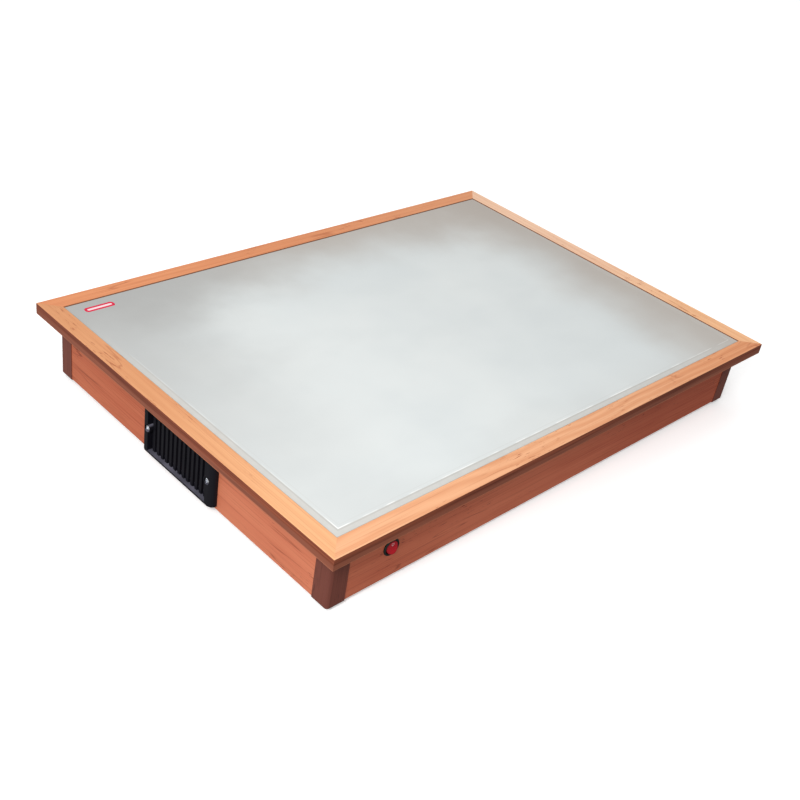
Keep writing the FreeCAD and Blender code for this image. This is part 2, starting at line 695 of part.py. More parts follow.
def rubber_feet():
    """Round feet, hollowed so that the screw's head stays off the table."""
    body = new_body("foot_master")
    bore = D.pan_head_radius + D.foot_bore_gap
    shank = D.pan_shank_radius + D.screw_gap
    hollow = D.foot_height / 2
    sketch = new_sketch(body, "half", "XZ_Plane")
    polygon(sketch, [(bore, 0), (D.foot_radius - D.foot_bevel, 0), (D.foot_radius, D.foot_bevel),
                     (D.foot_radius, D.foot_height), (shank, D.foot_height), (shank, hollow),
                     (bore, hollow)])
    revolve(sketch)
    corners = [(x, y) for x in (-1, 1) for y in (-1, 1)]
    copies("rubber_feet", body, [(foot_centre(x, y) + (0,), HEAD_UP) for x, y in corners])


# --------------------------------------------------------------------------- glass top


def glass_half(inset):
    """Half length and half width of a sheet that lies in the rebate."""
    return D.frame_length / 2 - D.rail_face - inset, D.frame_width / 2 - D.rail_face - inset


def sheet_of(name, bottom, thickness, inset):
    body = new_body(name)
    x, y = glass_half(inset)
    pad(rectangle(new_sketch(body, "plan", "XY_Plane", bottom), (-x, -y), (x, y)), thickness)
    return body


def badge_corners(grow):
    """Low and high corners of the blank badge on the glass."""
    x = D.badge_from_side - D.frame_length / 2
    y = D.frame_width / 2 - D.badge_from_back
    half_x = D.badge_length / 2 + grow
    half_y = D.badge_width / 2 + grow
    return (x - half_x, y - half_y), (x + half_x, y + half_y)


def glass_top():
    """The etched glass with its badge let in flush, and the opal sheet beneath it."""
    glass = sheet_of("top_glass", GLASS_BOTTOM, D.glass_thickness, D.glass_gap)
    soften(glass, lambda edge, middle: near(middle.z, GLASS_TOP), D.arris, "Chamfer")
    seat = new_sketch(glass, "badge_seat", "XY_Plane", GLASS_TOP)
    pocket(rectangle(seat, *badge_corners(D.joint_gap)), D.badge_thickness)
    soften(glass, lambda edge, middle: is_upright(edge) and near(edge.Length, D.badge_thickness),
           D.badge_radius)
    add_node(glass)
    add_node(sheet_of("opal_diffuser", DIFFUSER_BOTTOM, D.diffuser_thickness, D.glass_gap))
    badge = new_body("badge_blank")
    plan = new_sketch(badge, "plan", "XY_Plane", GLASS_TOP - D.badge_thickness)
    pad(rectangle(plan, *badge_corners(0)), D.badge_thickness)
    soften(badge, lambda edge, middle: is_upright(edge), D.badge_radius)
    add_node(badge)


def seat_tape():
    """Felt strips on the ledge that the sheets lie on."""
    out_x, out_y = glass_half(0)
    in_x, in_y = glass_half(TAPE_WIDTH)
    strips = [block("tape_front", (-out_x, -out_y, LEDGE_TOP), (out_x, -in_y, DIFFUSER_BOTTOM)),
              block("tape_back", (-out_x, in_y, LEDGE_TOP), (out_x, out_y, DIFFUSER_BOTTOM)),
              block("tape_left", (-out_x, -in_y, LEDGE_TOP), (-in_x, in_y, DIFFUSER_BOTTOM)),
              block("tape_right", (in_x, -in_y, LEDGE_TOP), (out_x, in_y, DIFFUSER_BOTTOM))]
    group("seat_tape", strips)


# --------------------------------------------------------------------------- lamps and gear


def reflector_tray(short_hole):
    """White sheet-metal pan under the lamps."""
    body = new_body("tray_blank")
    plan = new_sketch(body, "plan", "XY_Plane", BASE_TOP)
    pad(rectangle(plan, (-TRAY_X, -TRAY_Y), (TRAY_X, TRAY_Y)), D.tray_side)
    inside = new_sketch(body, "inside", "XY_Plane", BASE_TOP + D.tray_side)
    corner = (TRAY_X - D.tray_sheet, TRAY_Y - D.tray_sheet)
    pocket(rectangle(inside, (-corner[0], -corner[1]), corner), D.tray_side - D.tray_sheet)
    air_holes(body, TRAY_TOP, D.tray_sheet, D.tray_hole_radius)
    add_node(drilled("reflector_tray", body, [(short_hole, tray_screw_places())]))


def lamp_tube(number, row):
    """One open-ended glass tube, its ends closed by the caps."""
    body = new_body(f"lamp_tube_{number}")
    half = LAMP_END - D.cap_end
    outer = D.lamp_radius - D.cap_wall - D.screw_gap
    profile = new_sketch(body, "half", "XZ_Plane")
    polygon(profile, [(-half, outer), (half, outer), (half, outer - D.tube_wall),
                      (-half, outer - D.tube_wall)])
    revolve(profile, "H_Axis")
    bind(body, "Placement.Base.y", row)
    bind(body, "Placement.Base.z", LAMP_Z)
    return add_node(body)


def cap_master():
    """An aluminium cap with its two pins, drawn with its outer face at zero, pins to +Z."""
    body = new_body("cap_master")
    outer = D.lamp_radius
    bore = D.lamp_radius - D.cap_wall
    profile = new_sketch(body, "half", "XZ_Plane")
    polygon(profile, [(0, 0), (outer - D.cap_bevel, 0), (outer, -D.cap_bevel), (outer, -D.cap_length),
                      (bore, -D.cap_length), (bore, -D.cap_end), (0, -D.cap_end)])
    revolve(profile)
    pins = new_sketch(body, "pins", "XY_Plane")
    for side in (-1, 1):
        circle(pins, (0, side * D.pin_spacing / 2), D.pin_radius)
    pad(pins, D.pin_length)
    return body


def holder_master():
    """A lamp holder drawn round the lamp's axis (+Z towards the lamp), its face at zero."""
    body = new_body("holder_master")
    half = HOLDER_RADIUS
    foot = TRAY_TOP - LAMP_Z
    block_plan = new_sketch(body, "block", "XY_Plane", -D.holder_thickness)
    pad(rectangle(block_plan, (-half, foot), (half, 0)), D.holder_thickness)
    dome = new_sketch(body, "dome", "XY_Plane", -D.holder_thickness)
    pad(circle(dome, (0, 0), HOLDER_RADIUS), D.holder_thickness)
    socket = new_sketch(body, "socket", "XY_Plane")
    pocket(circle(socket, (0, 0), D.holder_socket_radius), D.pin_length + D.pin_room)
    slot = new_sketch(body, "slot", "XY_Plane")
    rectangle(slot, (-D.holder_slot / 2, 0), (D.holder_slot / 2, HOLDER_RADIUS + OVERRUN))
    pocket(slot, D.pin_length + D.pin_room)
    return body


# Turns for pieces drawn facing +Z with +Y up, to face along +X or -X with +Z up.
FACE_RIGHT = Rotation(Vector(0, 1, 0), Vector(0, 0, 1), Vector(1, 0, 0), "ZXY")
FACE_LEFT = Rotation(Vector(0, -1, 0), Vector(0, 0, 1), Vector(-1, 0, 0), "ZXY")


def lamps():
    """Four tubes, each with its caps and its pair of holders."""
    cap = cap_master()
    holder = holder_master()
    face = LAMP_END + D.holder_gap
    for number, row in enumerate(LAMP_ROWS, 1):
        lamp_tube(number, row)
        copies(f"lamp_caps_{number}", cap,
               [((LAMP_END, row, LAMP_Z), FACE_RIGHT), ((-LAMP_END, row, LAMP_Z), FACE_LEFT)])
        copies(f"lamp_holders_{number}", holder,
               [((face, row, LAMP_Z), FACE_LEFT), ((-face, row, LAMP_Z), FACE_RIGHT)])


def gear_screw_places():
    """Screws through the ballasts' end tabs."""
    reach = BALLAST_LENGTH / 2 + D.ballast_tab / 2
    spots = [(GEAR_X, side * BALLAST_Y + end * reach, BASE_TOP + D.ballast_tab_sheet)
             for side in (-1, 1) for end in (-1, 1)]
    return [(spot, HEAD_UP) for spot in spots]


def ballast(number, side, short_hole):
    """An electronic ballast: a flat steel case with a screw tab at each end."""
    body = new_body(f"ballast_{number}_blank")
    middle = side * BALLAST_Y
    half_x = D.ballast_width / 2
    half_y = BALLAST_LENGTH / 2
    case = new_sketch(body, "case", "XY_Plane", BASE_TOP)
    pad(rectangle(case, (GEAR_X - half_x, middle - half_y), (GEAR_X + half_x, middle + half_y)),
        D.ballast_height)
    tabs = new_sketch(body, "tabs", "XY_Plane", BASE_TOP)
    reach = half_y + D.ballast_tab
    rectangle(tabs, (GEAR_X - half_x, middle - reach), (GEAR_X + half_x, middle + reach))
    pad(tabs, D.ballast_tab_sheet)
    soften(body, lambda edge, point: near(point.z, BASE_TOP + D.ballast_height), D.arris)
    places = [place for place in gear_screw_places() if place[0][1].value * side > 0]
    add_node(drilled(f"ballast_{number}", body, [(short_hole, places)]))


def terminal_block():
    """A six-way screw terminal block on the base at the left end."""
    body = new_body("terminal_block")
    x = -GEAR_X
    y = TERMINAL_Y
    half_y = D.terminal_length / 2
    for name, width, height in (("plan", D.terminal_width, D.terminal_step),
                                ("ridge", D.terminal_ridge, D.terminal_height)):
        sketch = new_sketch(body, name, "XY_Plane", BASE_TOP)
        pad(rectangle(sketch, (x - width / 2, y - half_y), (x + width / 2, y + half_y)), height)
    span = D.terminal_pitch * (D.terminal_count - 1)
    hole = new_sketch(body, "screw_wells", "XY_Plane", BASE_TOP + D.terminal_height)
    circle(hole, (x, y - span / 2), D.terminal_hole_radius)
    repeat(pocket(hole, D.terminal_hole_depth), hole, "V_Axis", span, D.terminal_count)
    add_node(body)


# --------------------------------------------------------------------------- rocker switch

# The switch is drawn facing +Z with +Y up, on the panel's face, then turned to face -Y.
PIVOT_Z = D.bezel_flange - D.pivot_depth
CONTACT_Z = -D.bore_depth + D.blade_inside + D.contact_gap


def place_on_front(body, out=0, tilt=0):
    """Stand a switch piece on the front panel, moved outwards and tilted about X."""
    body.Placement = Placement(Vector(), Rotation(Vector(1, 0, 0), 90))
    bind(body, "Placement.Rotation.Angle", 90 + size(tilt))
    bind(body, "Placement.Base.x", SWITCH_X)
    bind(body, "Placement.Base.y", -PANEL_Y - out)
    bind(body, "Placement.Base.z", SWITCH_Z)


def blade_slots(sketch, grow):
    half_x = D.blade_width / 2 + grow
    half_y = D.blade_sheet / 2 + grow
    for step in (-1, 0, 1):
        y = step * D.blade_spacing
        rectangle(sketch, (-half_x, y - half_y), (half_x, y + half_y))
    return sketch


def switch_housing():
    """Bezel and barrel with a bore for the rocker, trunnion holes and slots for the blades."""
    body = new_body("switch_housing")
    flange = D.bezel_flange
    profile = new_sketch(body, "half", "XZ_Plane")
    polygon(profile, [(0, -D.barrel_depth), (D.barrel_radius, -D.barrel_depth), (D.barrel_radius, 0),
                      (BEZEL_RADIUS, 0), (BEZEL_RADIUS, flange - D.bezel_bevel),
                      (BEZEL_RADIUS - D.bezel_bevel, flange), (BORE_RADIUS, flange),
                      (BORE_RADIUS, -D.bore_depth), (0, -D.bore_depth)])
    revolve(profile)
    trunnions = new_sketch(body, "trunnion_holes", "YZ_Plane")
    circle(trunnions, (0, PIVOT_Z), D.trunnion_radius + D.trunnion_gap)
    pocket(trunnions, 2 * D.barrel_radius).Midplane = True
    pocket(blade_slots(new_sketch(body, "slots", "XY_Plane", -D.bore_depth), D.screw_gap),
           D.barrel_depth - D.bore_depth)
    place_on_front(body)
    add_node(body)


def switch_terminals():
    """Three flat blades through the barrel's floor."""
    pieces = []
    for step in (-1, 0, 1):
        body = new_body(f"blade_{step + 2}")
        plan = new_sketch(body, "plan", "XY_Plane", -D.barrel_depth - D.blade_reach)
        half_x = D.blade_width / 2
        half_y = D.blade_sheet / 2
        rectangle(plan, (-half_x, step * D.blade_spacing - half_y), (half_x, step * D.blade_spacing + half_y))
        pad(plan, D.barrel_depth + D.blade_reach - D.bore_depth + D.blade_inside)
        place_on_front(body)
        pieces.append(body)
    group("switch_terminals", pieces)


def switch_rocker():
    """The lens: a round button with a hollow-sloped face, on two trunnions."""
    body = new_body("switch_rocker")
    radius = ROCKER_RADIUS
    rise = radius * math.tan(math.radians(D.rocker_slope.value))
    side = new_sketch(body, "side", "YZ_Plane")
    polygon(side, [(-radius, -D.rocker_back), (radius, -D.rocker_back), (radius, D.rocker_face + rise),
                   (0, D.rocker_face), (-radius, D.rocker_face + rise)])
    pad(side, 2 * radius).Midplane = True
    trim = new_sketch(body, "trim", "XY_Plane", D.rocker_face + 2 * rise)
    circle(trim, (0, 0), 2 * radius)
    circle(trim, (0, 0), radius)
    pocket(trim, D.rocker_face + 2 * rise + 2 * D.rocker_back)
    trunnions = new_sketch(body, "trunnions", "YZ_Plane")
    pad(circle(trunnions, (0, 0), D.trunnion_radius),
        2 * (D.barrel_radius - D.trunnion_end_gap)).Midplane = True
    place_on_front(body, PIVOT_Z, -D.rocker_slope)
    add_node(body)


def switch_plunger():
    """The sprung pin under the rocker that tips the contact."""
    body = new_body("switch_plunger")
    plan = new_sketch(body, "plan", "XY_Plane", -D.plunger_reach)
    pad(circle(plan, (0, 0), D.plunger_radius), D.plunger_reach - D.rocker_back)
    place_on_front(body, PIVOT_Z, -D.rocker_slope)
    add_node(body)


def switch_contact():
    """The see-saw contact: a strip with a round ridge that rocks on the middle blade."""
    body = new_body("switch_contact")
    plan = new_sketch(body, "plan", "XY_Plane")
    half_x = D.contact_width / 2
    half_y = D.contact_length / 2
    pad(rectangle(plan, (-half_x, -half_y), (half_x, half_y)), D.contact_sheet)
    ridge = new_sketch(body, "ridge", "YZ_Plane")
    pad(circle(ridge, (0, 0), D.contact_gap - D.screw_gap), D.contact_width).Midplane = True
    place_on_front(body, CONTACT_Z, D.contact_tilt)
    add_node(body)


# --------------------------------------------------------------------------- grille and inlet


def vent_screw_places():
    out = PANEL_X + D.grille_depth - D.vent_bore_depth
    return [((-out, GRILLE_Y + side * VENT_SCREW_REACH, GRILLE_Z), HEAD_LEFT) for side in (-1, 1)]


def vent_rings(body, name, height, radius):
    """Two circles round the grille's screws."""
    rings = new_sketch(body, name, "YZ_Plane", height)
    for side in (-1, 1):
        circle(rings, (GRILLE_Y + side * VENT_SCREW_REACH, GRILLE_Z), radius)
    return rings


def vent_grille(vent_hole):
    """Moulded grille: round-cornered block, sunk field with upright ribs and air slots."""
    body = new_body("grille_blank")
    half = D.grille_length / 2
    out = PANEL_X + D.grille_depth
    height = GRILLE_TOP - GRILLE_BOTTOM
    pad(rectangle(new_sketch(body, "plan", "XY_Plane", GRILLE_BOTTOM), (-out, GRILLE_Y - half),
                  (-PANEL_X, GRILLE_Y + half)), height)
    soften(body, lambda edge, middle: is_upright(edge) and near(middle.x, -out), D.grille_corner)
    soften(body, lambda edge, middle: not is_upright(edge) and not near(middle.x, -PANEL_X),
           D.grille_edge)
    floor = GRILLE_BOTTOM + D.grille_rim
    ceiling = GRILLE_TOP - D.grille_rim
    sunk = new_sketch(body, "field", "YZ_Plane", -out)
    rectangle(sunk, (GRILLE_Y - GRILLE_FIELD, floor), (GRILLE_Y + GRILLE_FIELD, ceiling))
    pocket(sunk, D.grille_depth - D.grille_web, against=True)
    pad(vent_rings(body, "bosses", -PANEL_X, D.vent_boss_radius), D.grille_depth - D.arris, against=True)
    span = 2 * (GRILLE_FIELD - D.rib_margin)
    pitch = span / (D.rib_count - 1)
    rib = new_sketch(body, "rib", "YZ_Plane", -PANEL_X - D.grille_web / 2)
    rectangle(rib, (GRILLE_Y - span / 2 - D.rib_width / 2, floor - OVERRUN),
              (GRILLE_Y - span / 2 + D.rib_width / 2, ceiling + OVERRUN))
    repeat(pad(rib, D.grille_web / 2 + D.rib_depth, against=True), rib, "H_Axis", span, D.rib_count)
    slot = new_sketch(body, "slot", "YZ_Plane", -PANEL_X)
    first = GRILLE_Y - span / 2 + pitch / 2
    rectangle(slot, (first - D.slot_width / 2, floor + D.slot_margin),
              (first + D.slot_width / 2, ceiling - D.slot_margin))
    repeat(pocket(slot, D.grille_web), slot, "H_Axis", span - pitch, D.rib_count - 1)
    pocket(vent_rings(body, "bores", -out, D.vent_bore_radius), D.vent_bore_depth, against=True)
    add_node(drilled("vent_grille", body, [(vent_hole, vent_screw_places())]))


def place_on_back(body):
    """Stand an inlet piece, drawn facing +Z with +Y up, on the back panel."""
    body.Placement = Placement(Vector(), Rotation(Vector(-1, 0, 0), Vector(0, 0, 1), Vector(0, 1, 0), "ZXY"))
    bind(body, "Placement.Base.x", INLET_X)
    bind(body, "Placement.Base.y", PANEL_Y)
    bind(body, "Placement.Base.z", INLET_Z)


def inlet_screw_places():
    half = D.inlet_screw_spacing / 2
    return [((INLET_X + side * half, PANEL_Y + D.inlet_flange, INLET_Z), HEAD_BACK) for side in (-1, 1)]


def inlet_blade_spots():
    """Live, neutral and earth: the middle of each blade."""
    half = D.inlet_blade_spacing / 2
    low = -D.inlet_earth_rise / 2
    return [(-half, low), (half, low), (0, low + D.inlet_earth_rise)]


def power_inlet(inlet_hole):
    """Appliance inlet: flange with ears, body through the panel, and a socket with two bevels."""
    body = new_body("inlet_blank")
    half = D.inlet_length / 2
    tall = D.inlet_body_height / 2
    inside = D.inlet_depth - D.inlet_flange
    pad(rectangle(new_sketch(body, "body", "XY_Plane", -inside), (-half, -tall), (half, tall)), inside)
    ear = D.inlet_flange_length / 2
    rise = D.inlet_flange_height / 2
    flange = new_sketch(body, "flange", "XY_Plane")
    polygon(flange, [(-ear, -rise / 2), (-half, -rise), (half, -rise), (ear, -rise / 2), (ear, rise / 2),
                     (half, rise), (-half, rise), (-ear, rise / 2)])
    pad(flange, D.inlet_flange)
    wide = D.socket_length / 2
    high = D.socket_height / 2
    bevel = D.socket_bevel
    socket = new_sketch(body, "socket", "XY_Plane", D.inlet_flange)
    polygon(socket, [(-wide, -high), (wide, -high), (wide, high - bevel), (wide - bevel, high),
                     (bevel - wide, high), (-wide, high - bevel)])
    pocket(socket, D.socket_depth)
    slots = new_sketch(body, "slots", "XY_Plane", D.inlet_flange - D.socket_depth)
    blade_outlines(slots, D.screw_gap)
    pocket(slots, D.inlet_depth - D.socket_depth)
    place_on_back(body)
    add_node(drilled("power_inlet", body, [(inlet_hole, inlet_screw_places())]))


def blade_outlines(sketch, grow):
    half_x = D.inlet_blade_sheet / 2 + grow
    half_y = D.inlet_blade_height / 2 + grow
    for x, y in inlet_blade_spots():
        rectangle(sketch, (x - half_x, y - half_y), (x + half_x, y + half_y))
    return sketch


def inlet_blades():
    """The three blades, from behind the body to just short of the mouth."""
    pieces = []
    half_x = D.inlet_blade_sheet / 2
    half_y = D.inlet_blade_height / 2
    back = D.inlet_flange - D.inlet_depth - D.blade_reach
    front = D.inlet_flange - D.socket_depth + D.inlet_blade_reach
    for number, (x, y) in enumerate(inlet_blade_spots(), 1):
        body = new_body(f"inlet_blade_{number}")
        plan = new_sketch(body, "plan", "XY_Plane", back)
        pad(rectangle(plan, (x - half_x, y - half_y), (x + half_x, y + half_y)), front - back)
        place_on_back(body)
        pieces.append(body)
    group("inlet_blades", pieces)


# --------------------------------------------------------------------------- boots, leads, clips


def switch_boot():
    """Rubber cup over the switch's blades."""
    body = new_body("switch_boot")
    back = -D.barrel_depth
    end = back - D.boot_length
    outer = D.barrel_radius - D.boot_inset
    inner = outer - D.boot_wall
    profile = new_sketch(body, "half", "XZ_Plane")
    polygon(profile, [(0, end), (outer - D.boot_round, end), (outer, end + D.boot_taper), (outer, back),
                      (inner, back), (inner, end + D.boot_taper), (inner - D.boot_round, end + D.boot_wall),
                      (0, end + D.boot_wall)])
    revolve(profile)
    place_on_front(body)
    add_node(body)


def inlet_boot():
    """Rubber cover over the back of the inlet and its blades."""
    body = new_body("inlet_boot")
    back = D.inlet_flange - D.inlet_depth
    half_x = D.inlet_length / 2
    half_y = D.inlet_body_height / 2
    plan = new_sketch(body, "plan", "XY_Plane", back - D.boot_length)
    pad(rectangle(plan, (-half_x, -half_y), (half_x, half_y)), D.boot_length)
    soften(body, lambda edge, middle: near(middle.z, back - D.boot_length), D.boot_round)
    inside = new_sketch(body, "inside", "XY_Plane", back)
    corner = (half_x - D.boot_wall, half_y - D.boot_wall)
    rectangle(inside, (-corner[0], -corner[1]), corner)
    pocket(inside, D.boot_length - D.boot_wall)
    place_on_back(body)
    add_node(body)


# The most of a run that one arc may take, and how far a tube's volume may be from its sum.
ARC_SHARE = 0.45
VOLUME_SLACK = 0.01


def tangent_path(points, bend):
    """Straight runs joined by tangent arcs, each as large as its two runs leave room for."""
    edges = []
    start = points[0]
    for before, corner, after in zip(points, points[1:], points[2:]):
        into = (corner - before).normalize()
        out = (after - corner).normalize()
        turn = into.getAngle(out)
        room = ARC_SHARE * min((corner - before).Length, (after - corner).Length)
        reach = min(room, bend * math.tan(turn / 2))
        arc_start = corner - into * reach
        arc_end = corner + out * reach
        radius = reach / math.tan(turn / 2)
        inward = (out - into).normalize()
        middle = corner + inward * (radius / math.cos(turn / 2) - radius)
        edges.append(Part.LineSegment(start, arc_start).toShape())
        edges.append(Part.Arc(arc_start, middle, arc_end).toShape())
        start = arc_end
    edges.append(Part.LineSegment(start, points[-1]).toShape())
    return Part.Wire(edges)


def lead_shape(points):
    """A round lead along its route, its volume checked against section times length."""
    route = [Vector(*(size(part).value for part in point)) for point in points]
    path = tangent_path(route, D.lead_bend.value)
    radius = D.lead_radius.value
    ring = Part.Wire(Part.Circle(route[0], route[1] - route[0], radius).toShape())
    tube = path.makePipeShell([ring], True, False)
    expected = math.pi * radius ** 2 * path.Length
    if abs(tube.Volume - expected) > VOLUME_SLACK * expected:
        raise RuntimeError("a lead's volume is not its section times its length")
    return tube


def lead(name, routes):
    """One node of leads, one solid for each route."""
    thing = doc.addObject("Part::Feature", name)
    thing.Shape = Part.makeCompound([lead_shape(route) for route in routes])
    add_node(thing)


def leads():
    """The leads inside the case, from inlet and switch to the terminal block, ballasts and lamps."""
    block_x = -GEAR_X
    block_low = TERMINAL_Y - D.terminal_length / 2
    block_high = TERMINAL_Y + D.terminal_length / 2
    side = D.terminal_width / 4
    stub = D.lead_stub
    inlet_back = PANEL_Y + D.inlet_flange - D.inlet_depth - D.boot_length
    lead("lead_inlet", [[(INLET_X, inlet_back, INLET_Z), (INLET_X, inlet_back - stub, INLET_Z),
                         (block_x + side, inlet_back - stub, INLET_Z),
                         (block_x + side, block_high + stub, LEAD_Z), (block_x + side, block_high, LEAD_Z)]])
    switch_back = D.barrel_depth + D.boot_length - PANEL_Y
    lead("lead_switch", [[(SWITCH_X, switch_back, SWITCH_Z), (SWITCH_X, switch_back + stub, SWITCH_Z),
                          (block_x, switch_back + stub, SWITCH_Z),
                          (block_x, switch_back + stub + D.lead_slope, LEAD_Z),
                          (block_x, block_low, LEAD_Z)]])
    ballast_far = BALLAST_Y + BALLAST_LENGTH / 2
    ballast_near = BALLAST_Y - BALLAST_LENGTH / 2
    lead("lead_feed", [[(block_x - side, block_high, LEAD_Z), (block_x - side, CORRIDOR_Y, LEAD_Z),
                        (GEAR_X, CORRIDOR_Y, LEAD_Z), (GEAR_X, ballast_far, LEAD_Z)],
                       [(GEAR_X, ballast_near, LEAD_Z), (GEAR_X, -ballast_near, LEAD_Z)]])
    holder_back = LAMP_END + D.holder_gap + D.holder_thickness
    over_tray = BASE_TOP + D.tray_side + D.lamp_lead_rise
    over_side = over_tray + D.bus_rise
    bus_x = -holder_back - D.lead_radius - D.lead_slack
    ramp_top = bus_x + D.bus_corner_x
    lead("lead_lamps", [[(holder_back, row, over_tray), (GEAR_X - D.ballast_width / 2, row, over_tray)]
                        for row in LAMP_ROWS]
         + [[(GEAR_X, -ballast_far, LEAD_Z), (GEAR_X, -CORRIDOR_Y, LEAD_Z),
             (ramp_top + D.bus_ramp, -CORRIDOR_Y, LEAD_Z), (ramp_top, -CORRIDOR_Y, over_side),
             (bus_x, D.bus_corner_y - CORRIDOR_Y, over_side), (bus_x, LAMP_ROWS[-1], over_side)]])


def lead_clips():
    """Saddle clips that hold the leads above the base."""
    body = new_body("clip_master")
    half = D.clip_width / 2
    plan = new_sketch(body, "plan", "YZ_Plane", -half)
    low = D.clip_side
    rectangle(plan, (-low, -D.lead_rise), (low, low))
    pad(plan, D.clip_width)
    soften(body, lambda edge, middle: near(middle.z, low), D.clip_round)
    hole = new_sketch(body, "hole", "YZ_Plane", half)
    circle(hole, (0, 0), D.lead_radius + D.screw_gap)
    pocket(hole, D.clip_width)
    crossways = Rotation(Vector(0, 0, 1), 90)
    places = [((step * D.clip_pitch, side * CORRIDOR_Y, LEAD_Z), HEAD_UP)
              for step in (-1, 0, 1) for side in (-1, 1)]
    places += [((-GEAR_X, step * D.clip_pitch / 2 - D.clip_pitch / 4, LEAD_Z), crossways) for step in (-1, 1)]
    copies("lead_clips", body, places)


# --------------------------------------------------------------------------- build


def check_document():
    """Stop if any object failed, any cut removed nothing, or any node's shape is unsound."""
    for thing in doc.Objects:
        if {"Invalid", "Error"} & set(thing.State):
            raise RuntimeError(f"{thing.Name} failed: {thing.State}")
        if thing.TypeId in ("PartDesign::Pocket", "PartDesign::Groove"):
            if thing.Shape.Volume > thing.BaseFeature.Shape.Volume - 1e-6:
                raise RuntimeError(f"{thing.Name} cuts nothing")
    for node in NODES:
        if node.Shape.isNull() or not node.Shape.isValid() or not node.Shape.Solids:
            raise RuntimeError(f"{node.Label} has no sound shape")


def export_nodes():
    os.makedirs("parts", exist_ok=True)
    for node in NODES:
        node.Shape.exportStep(f"parts/{node.Label}.step")
        print(f"{node.Label}: {len(node.Shape.Solids)} solid(s), {node.Shape.Volume / 1000:.2f} cm3")


def build_wood(flat_hole, frame_hole, pan_hole, short_hole):
    """Frame, posts, panels and base."""
    for name, angle in SIDES:
        frame_rail(name, angle, frame_hole)
    mitre_biscuits()
    for name, x_side, y_side in POSTS:
        post(name, x_side, y_side, pan_hole)
    panel_front(frame_hole)
    panel_back(frame_hole, flat_hole)
    panel_left(frame_hole, pan_hole)
    panel_right(frame_hole)
    base_panel(flat_hole, short_hole)
    base_cleats(flat_hole)


def build_electrics(flat_hole, short_hole):
    """Tray, lamps, ballasts, terminal block, leads, switch and inlet."""
    reflector_tray(short_hole)
    lamps()
    ballast(1, 1, short_hole)
    ballast(2, -1, short_hole)
    terminal_block()
    switch_housing()
    switch_terminals()
    switch_contact()
    switch_plunger()
    switch_rocker()
    switch_boot()
    power_inlet(flat_hole)
    inlet_blades()
    inlet_boot()
    leads()
    lead_clips()


def build_screws():
    """Every screw, grouped by what it holds."""
    frame_screw = flat_screw("frame_screw", D.frame_screw_length)
    places = [place for side in frame_screw_places().values() for place in side]
    copies("frame_screws", frame_screw, places)
    flat = flat_screw("flat_screw", D.flat_length)
    copies("base_screws", flat, base_screw_places())
    copies("inlet_screws", flat, inlet_screw_places())
    pan = pan_screw("pan_screw", D.pan_length, D.pan_head_height)
    copies("vent_screws", pan, vent_screw_places())
    foot = pan_screw("foot_screw", D.pan_length, D.foot_head_height)
    copies("foot_screws", foot, [foot_screw_place(x, y) for _, x, y in POSTS])
    short = pan_screw("short_screw", D.short_screw_length, D.foot_head_height)
    copies("gear_screws", short, tray_screw_places() + gear_screw_places())


def build():
    flat_hole = flat_screw_hole("flat_hole", D.flat_length)
    frame_hole = flat_screw_hole("frame_hole", D.frame_screw_length)
    pan_hole = plain_hole("pan_hole", D.pan_length)
    short_hole = plain_hole("short_hole", D.short_screw_length)
    build_wood(flat_hole, frame_hole, pan_hole, short_hole)
    rubber_feet()
    vent_grille(pan_hole)
    build_electrics(flat_hole, short_hole)
    build_screws()
    seat_tape()
    glass_top()


build()
doc.recompute()
check_document()
export_nodes()
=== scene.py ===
import math

import bmesh
import bpy
from mathutils import Matrix, Vector


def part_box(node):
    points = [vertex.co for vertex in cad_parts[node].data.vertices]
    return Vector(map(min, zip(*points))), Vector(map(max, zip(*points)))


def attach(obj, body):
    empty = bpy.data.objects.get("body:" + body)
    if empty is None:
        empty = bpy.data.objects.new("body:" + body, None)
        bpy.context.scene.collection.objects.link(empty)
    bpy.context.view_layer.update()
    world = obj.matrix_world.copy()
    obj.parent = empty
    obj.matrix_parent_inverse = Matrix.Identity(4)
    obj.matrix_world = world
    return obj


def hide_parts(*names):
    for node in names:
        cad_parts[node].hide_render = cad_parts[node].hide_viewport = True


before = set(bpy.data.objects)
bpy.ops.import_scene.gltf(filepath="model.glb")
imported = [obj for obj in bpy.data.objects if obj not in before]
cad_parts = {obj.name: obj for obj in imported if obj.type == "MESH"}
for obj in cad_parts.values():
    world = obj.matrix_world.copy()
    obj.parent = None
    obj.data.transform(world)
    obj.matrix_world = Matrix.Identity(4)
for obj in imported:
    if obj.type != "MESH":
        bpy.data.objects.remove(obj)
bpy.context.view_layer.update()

# Metres.  Sizes that the looks need and that a node's box does not give by itself.
LEDGE = 0.011
SWITCH_PIVOT = Vector((-0.309, -0.276, 0.0525))
ROCKER_RADIUS = 0.0084
ROCKER_SLOPE = math.radians(10)
ROCKER_FACE = 0.0036
ROCKER_BACK = 0.0025
ROCKER_ROUND = 0.0007
TRUNNION_RADIUS = 0.0012
TRUNNION_REACH = 0.0098

# The ring mark on the rocker: its middle and radius, where its line is full and where it has faded
# out, and the heights between which it fades in, so that only the face carries it.
MARK_PLACE = ROCKER_RADIUS * 0.5
MARK_RADIUS = ROCKER_RADIUS * 0.2
MARK_LINE = (0.00022, 0.0004)
MARK_FADE = (0.001, 0.002)

# Painted lines round the glass, a shadow, a highlight and a reflection: from and to, in from the inner edge
# of its seat.
SEAT_EDGE = LEDGE - 0.0006
SEAT_SHADOW = (-0.0024, -0.0012)
OPAL_EDGE_HIGHLIGHT = (0.0, 0.0008)
OPAL_REFLECTION = (0.0045, 0.005)

# Stained sides: how deep in a face still counts as outer, and the height of the painted highlight along the
# lower arris.
OUTER_DEPTH = (0.002, 0.004)
ARRIS_HIGHLIGHT_HEIGHT = (0.0006, 0.0018)

# How far two boards lie apart in the tree for one step of their seeds: along, across and through.
TREE_STEP = (1.37, 0.61, 0.23)

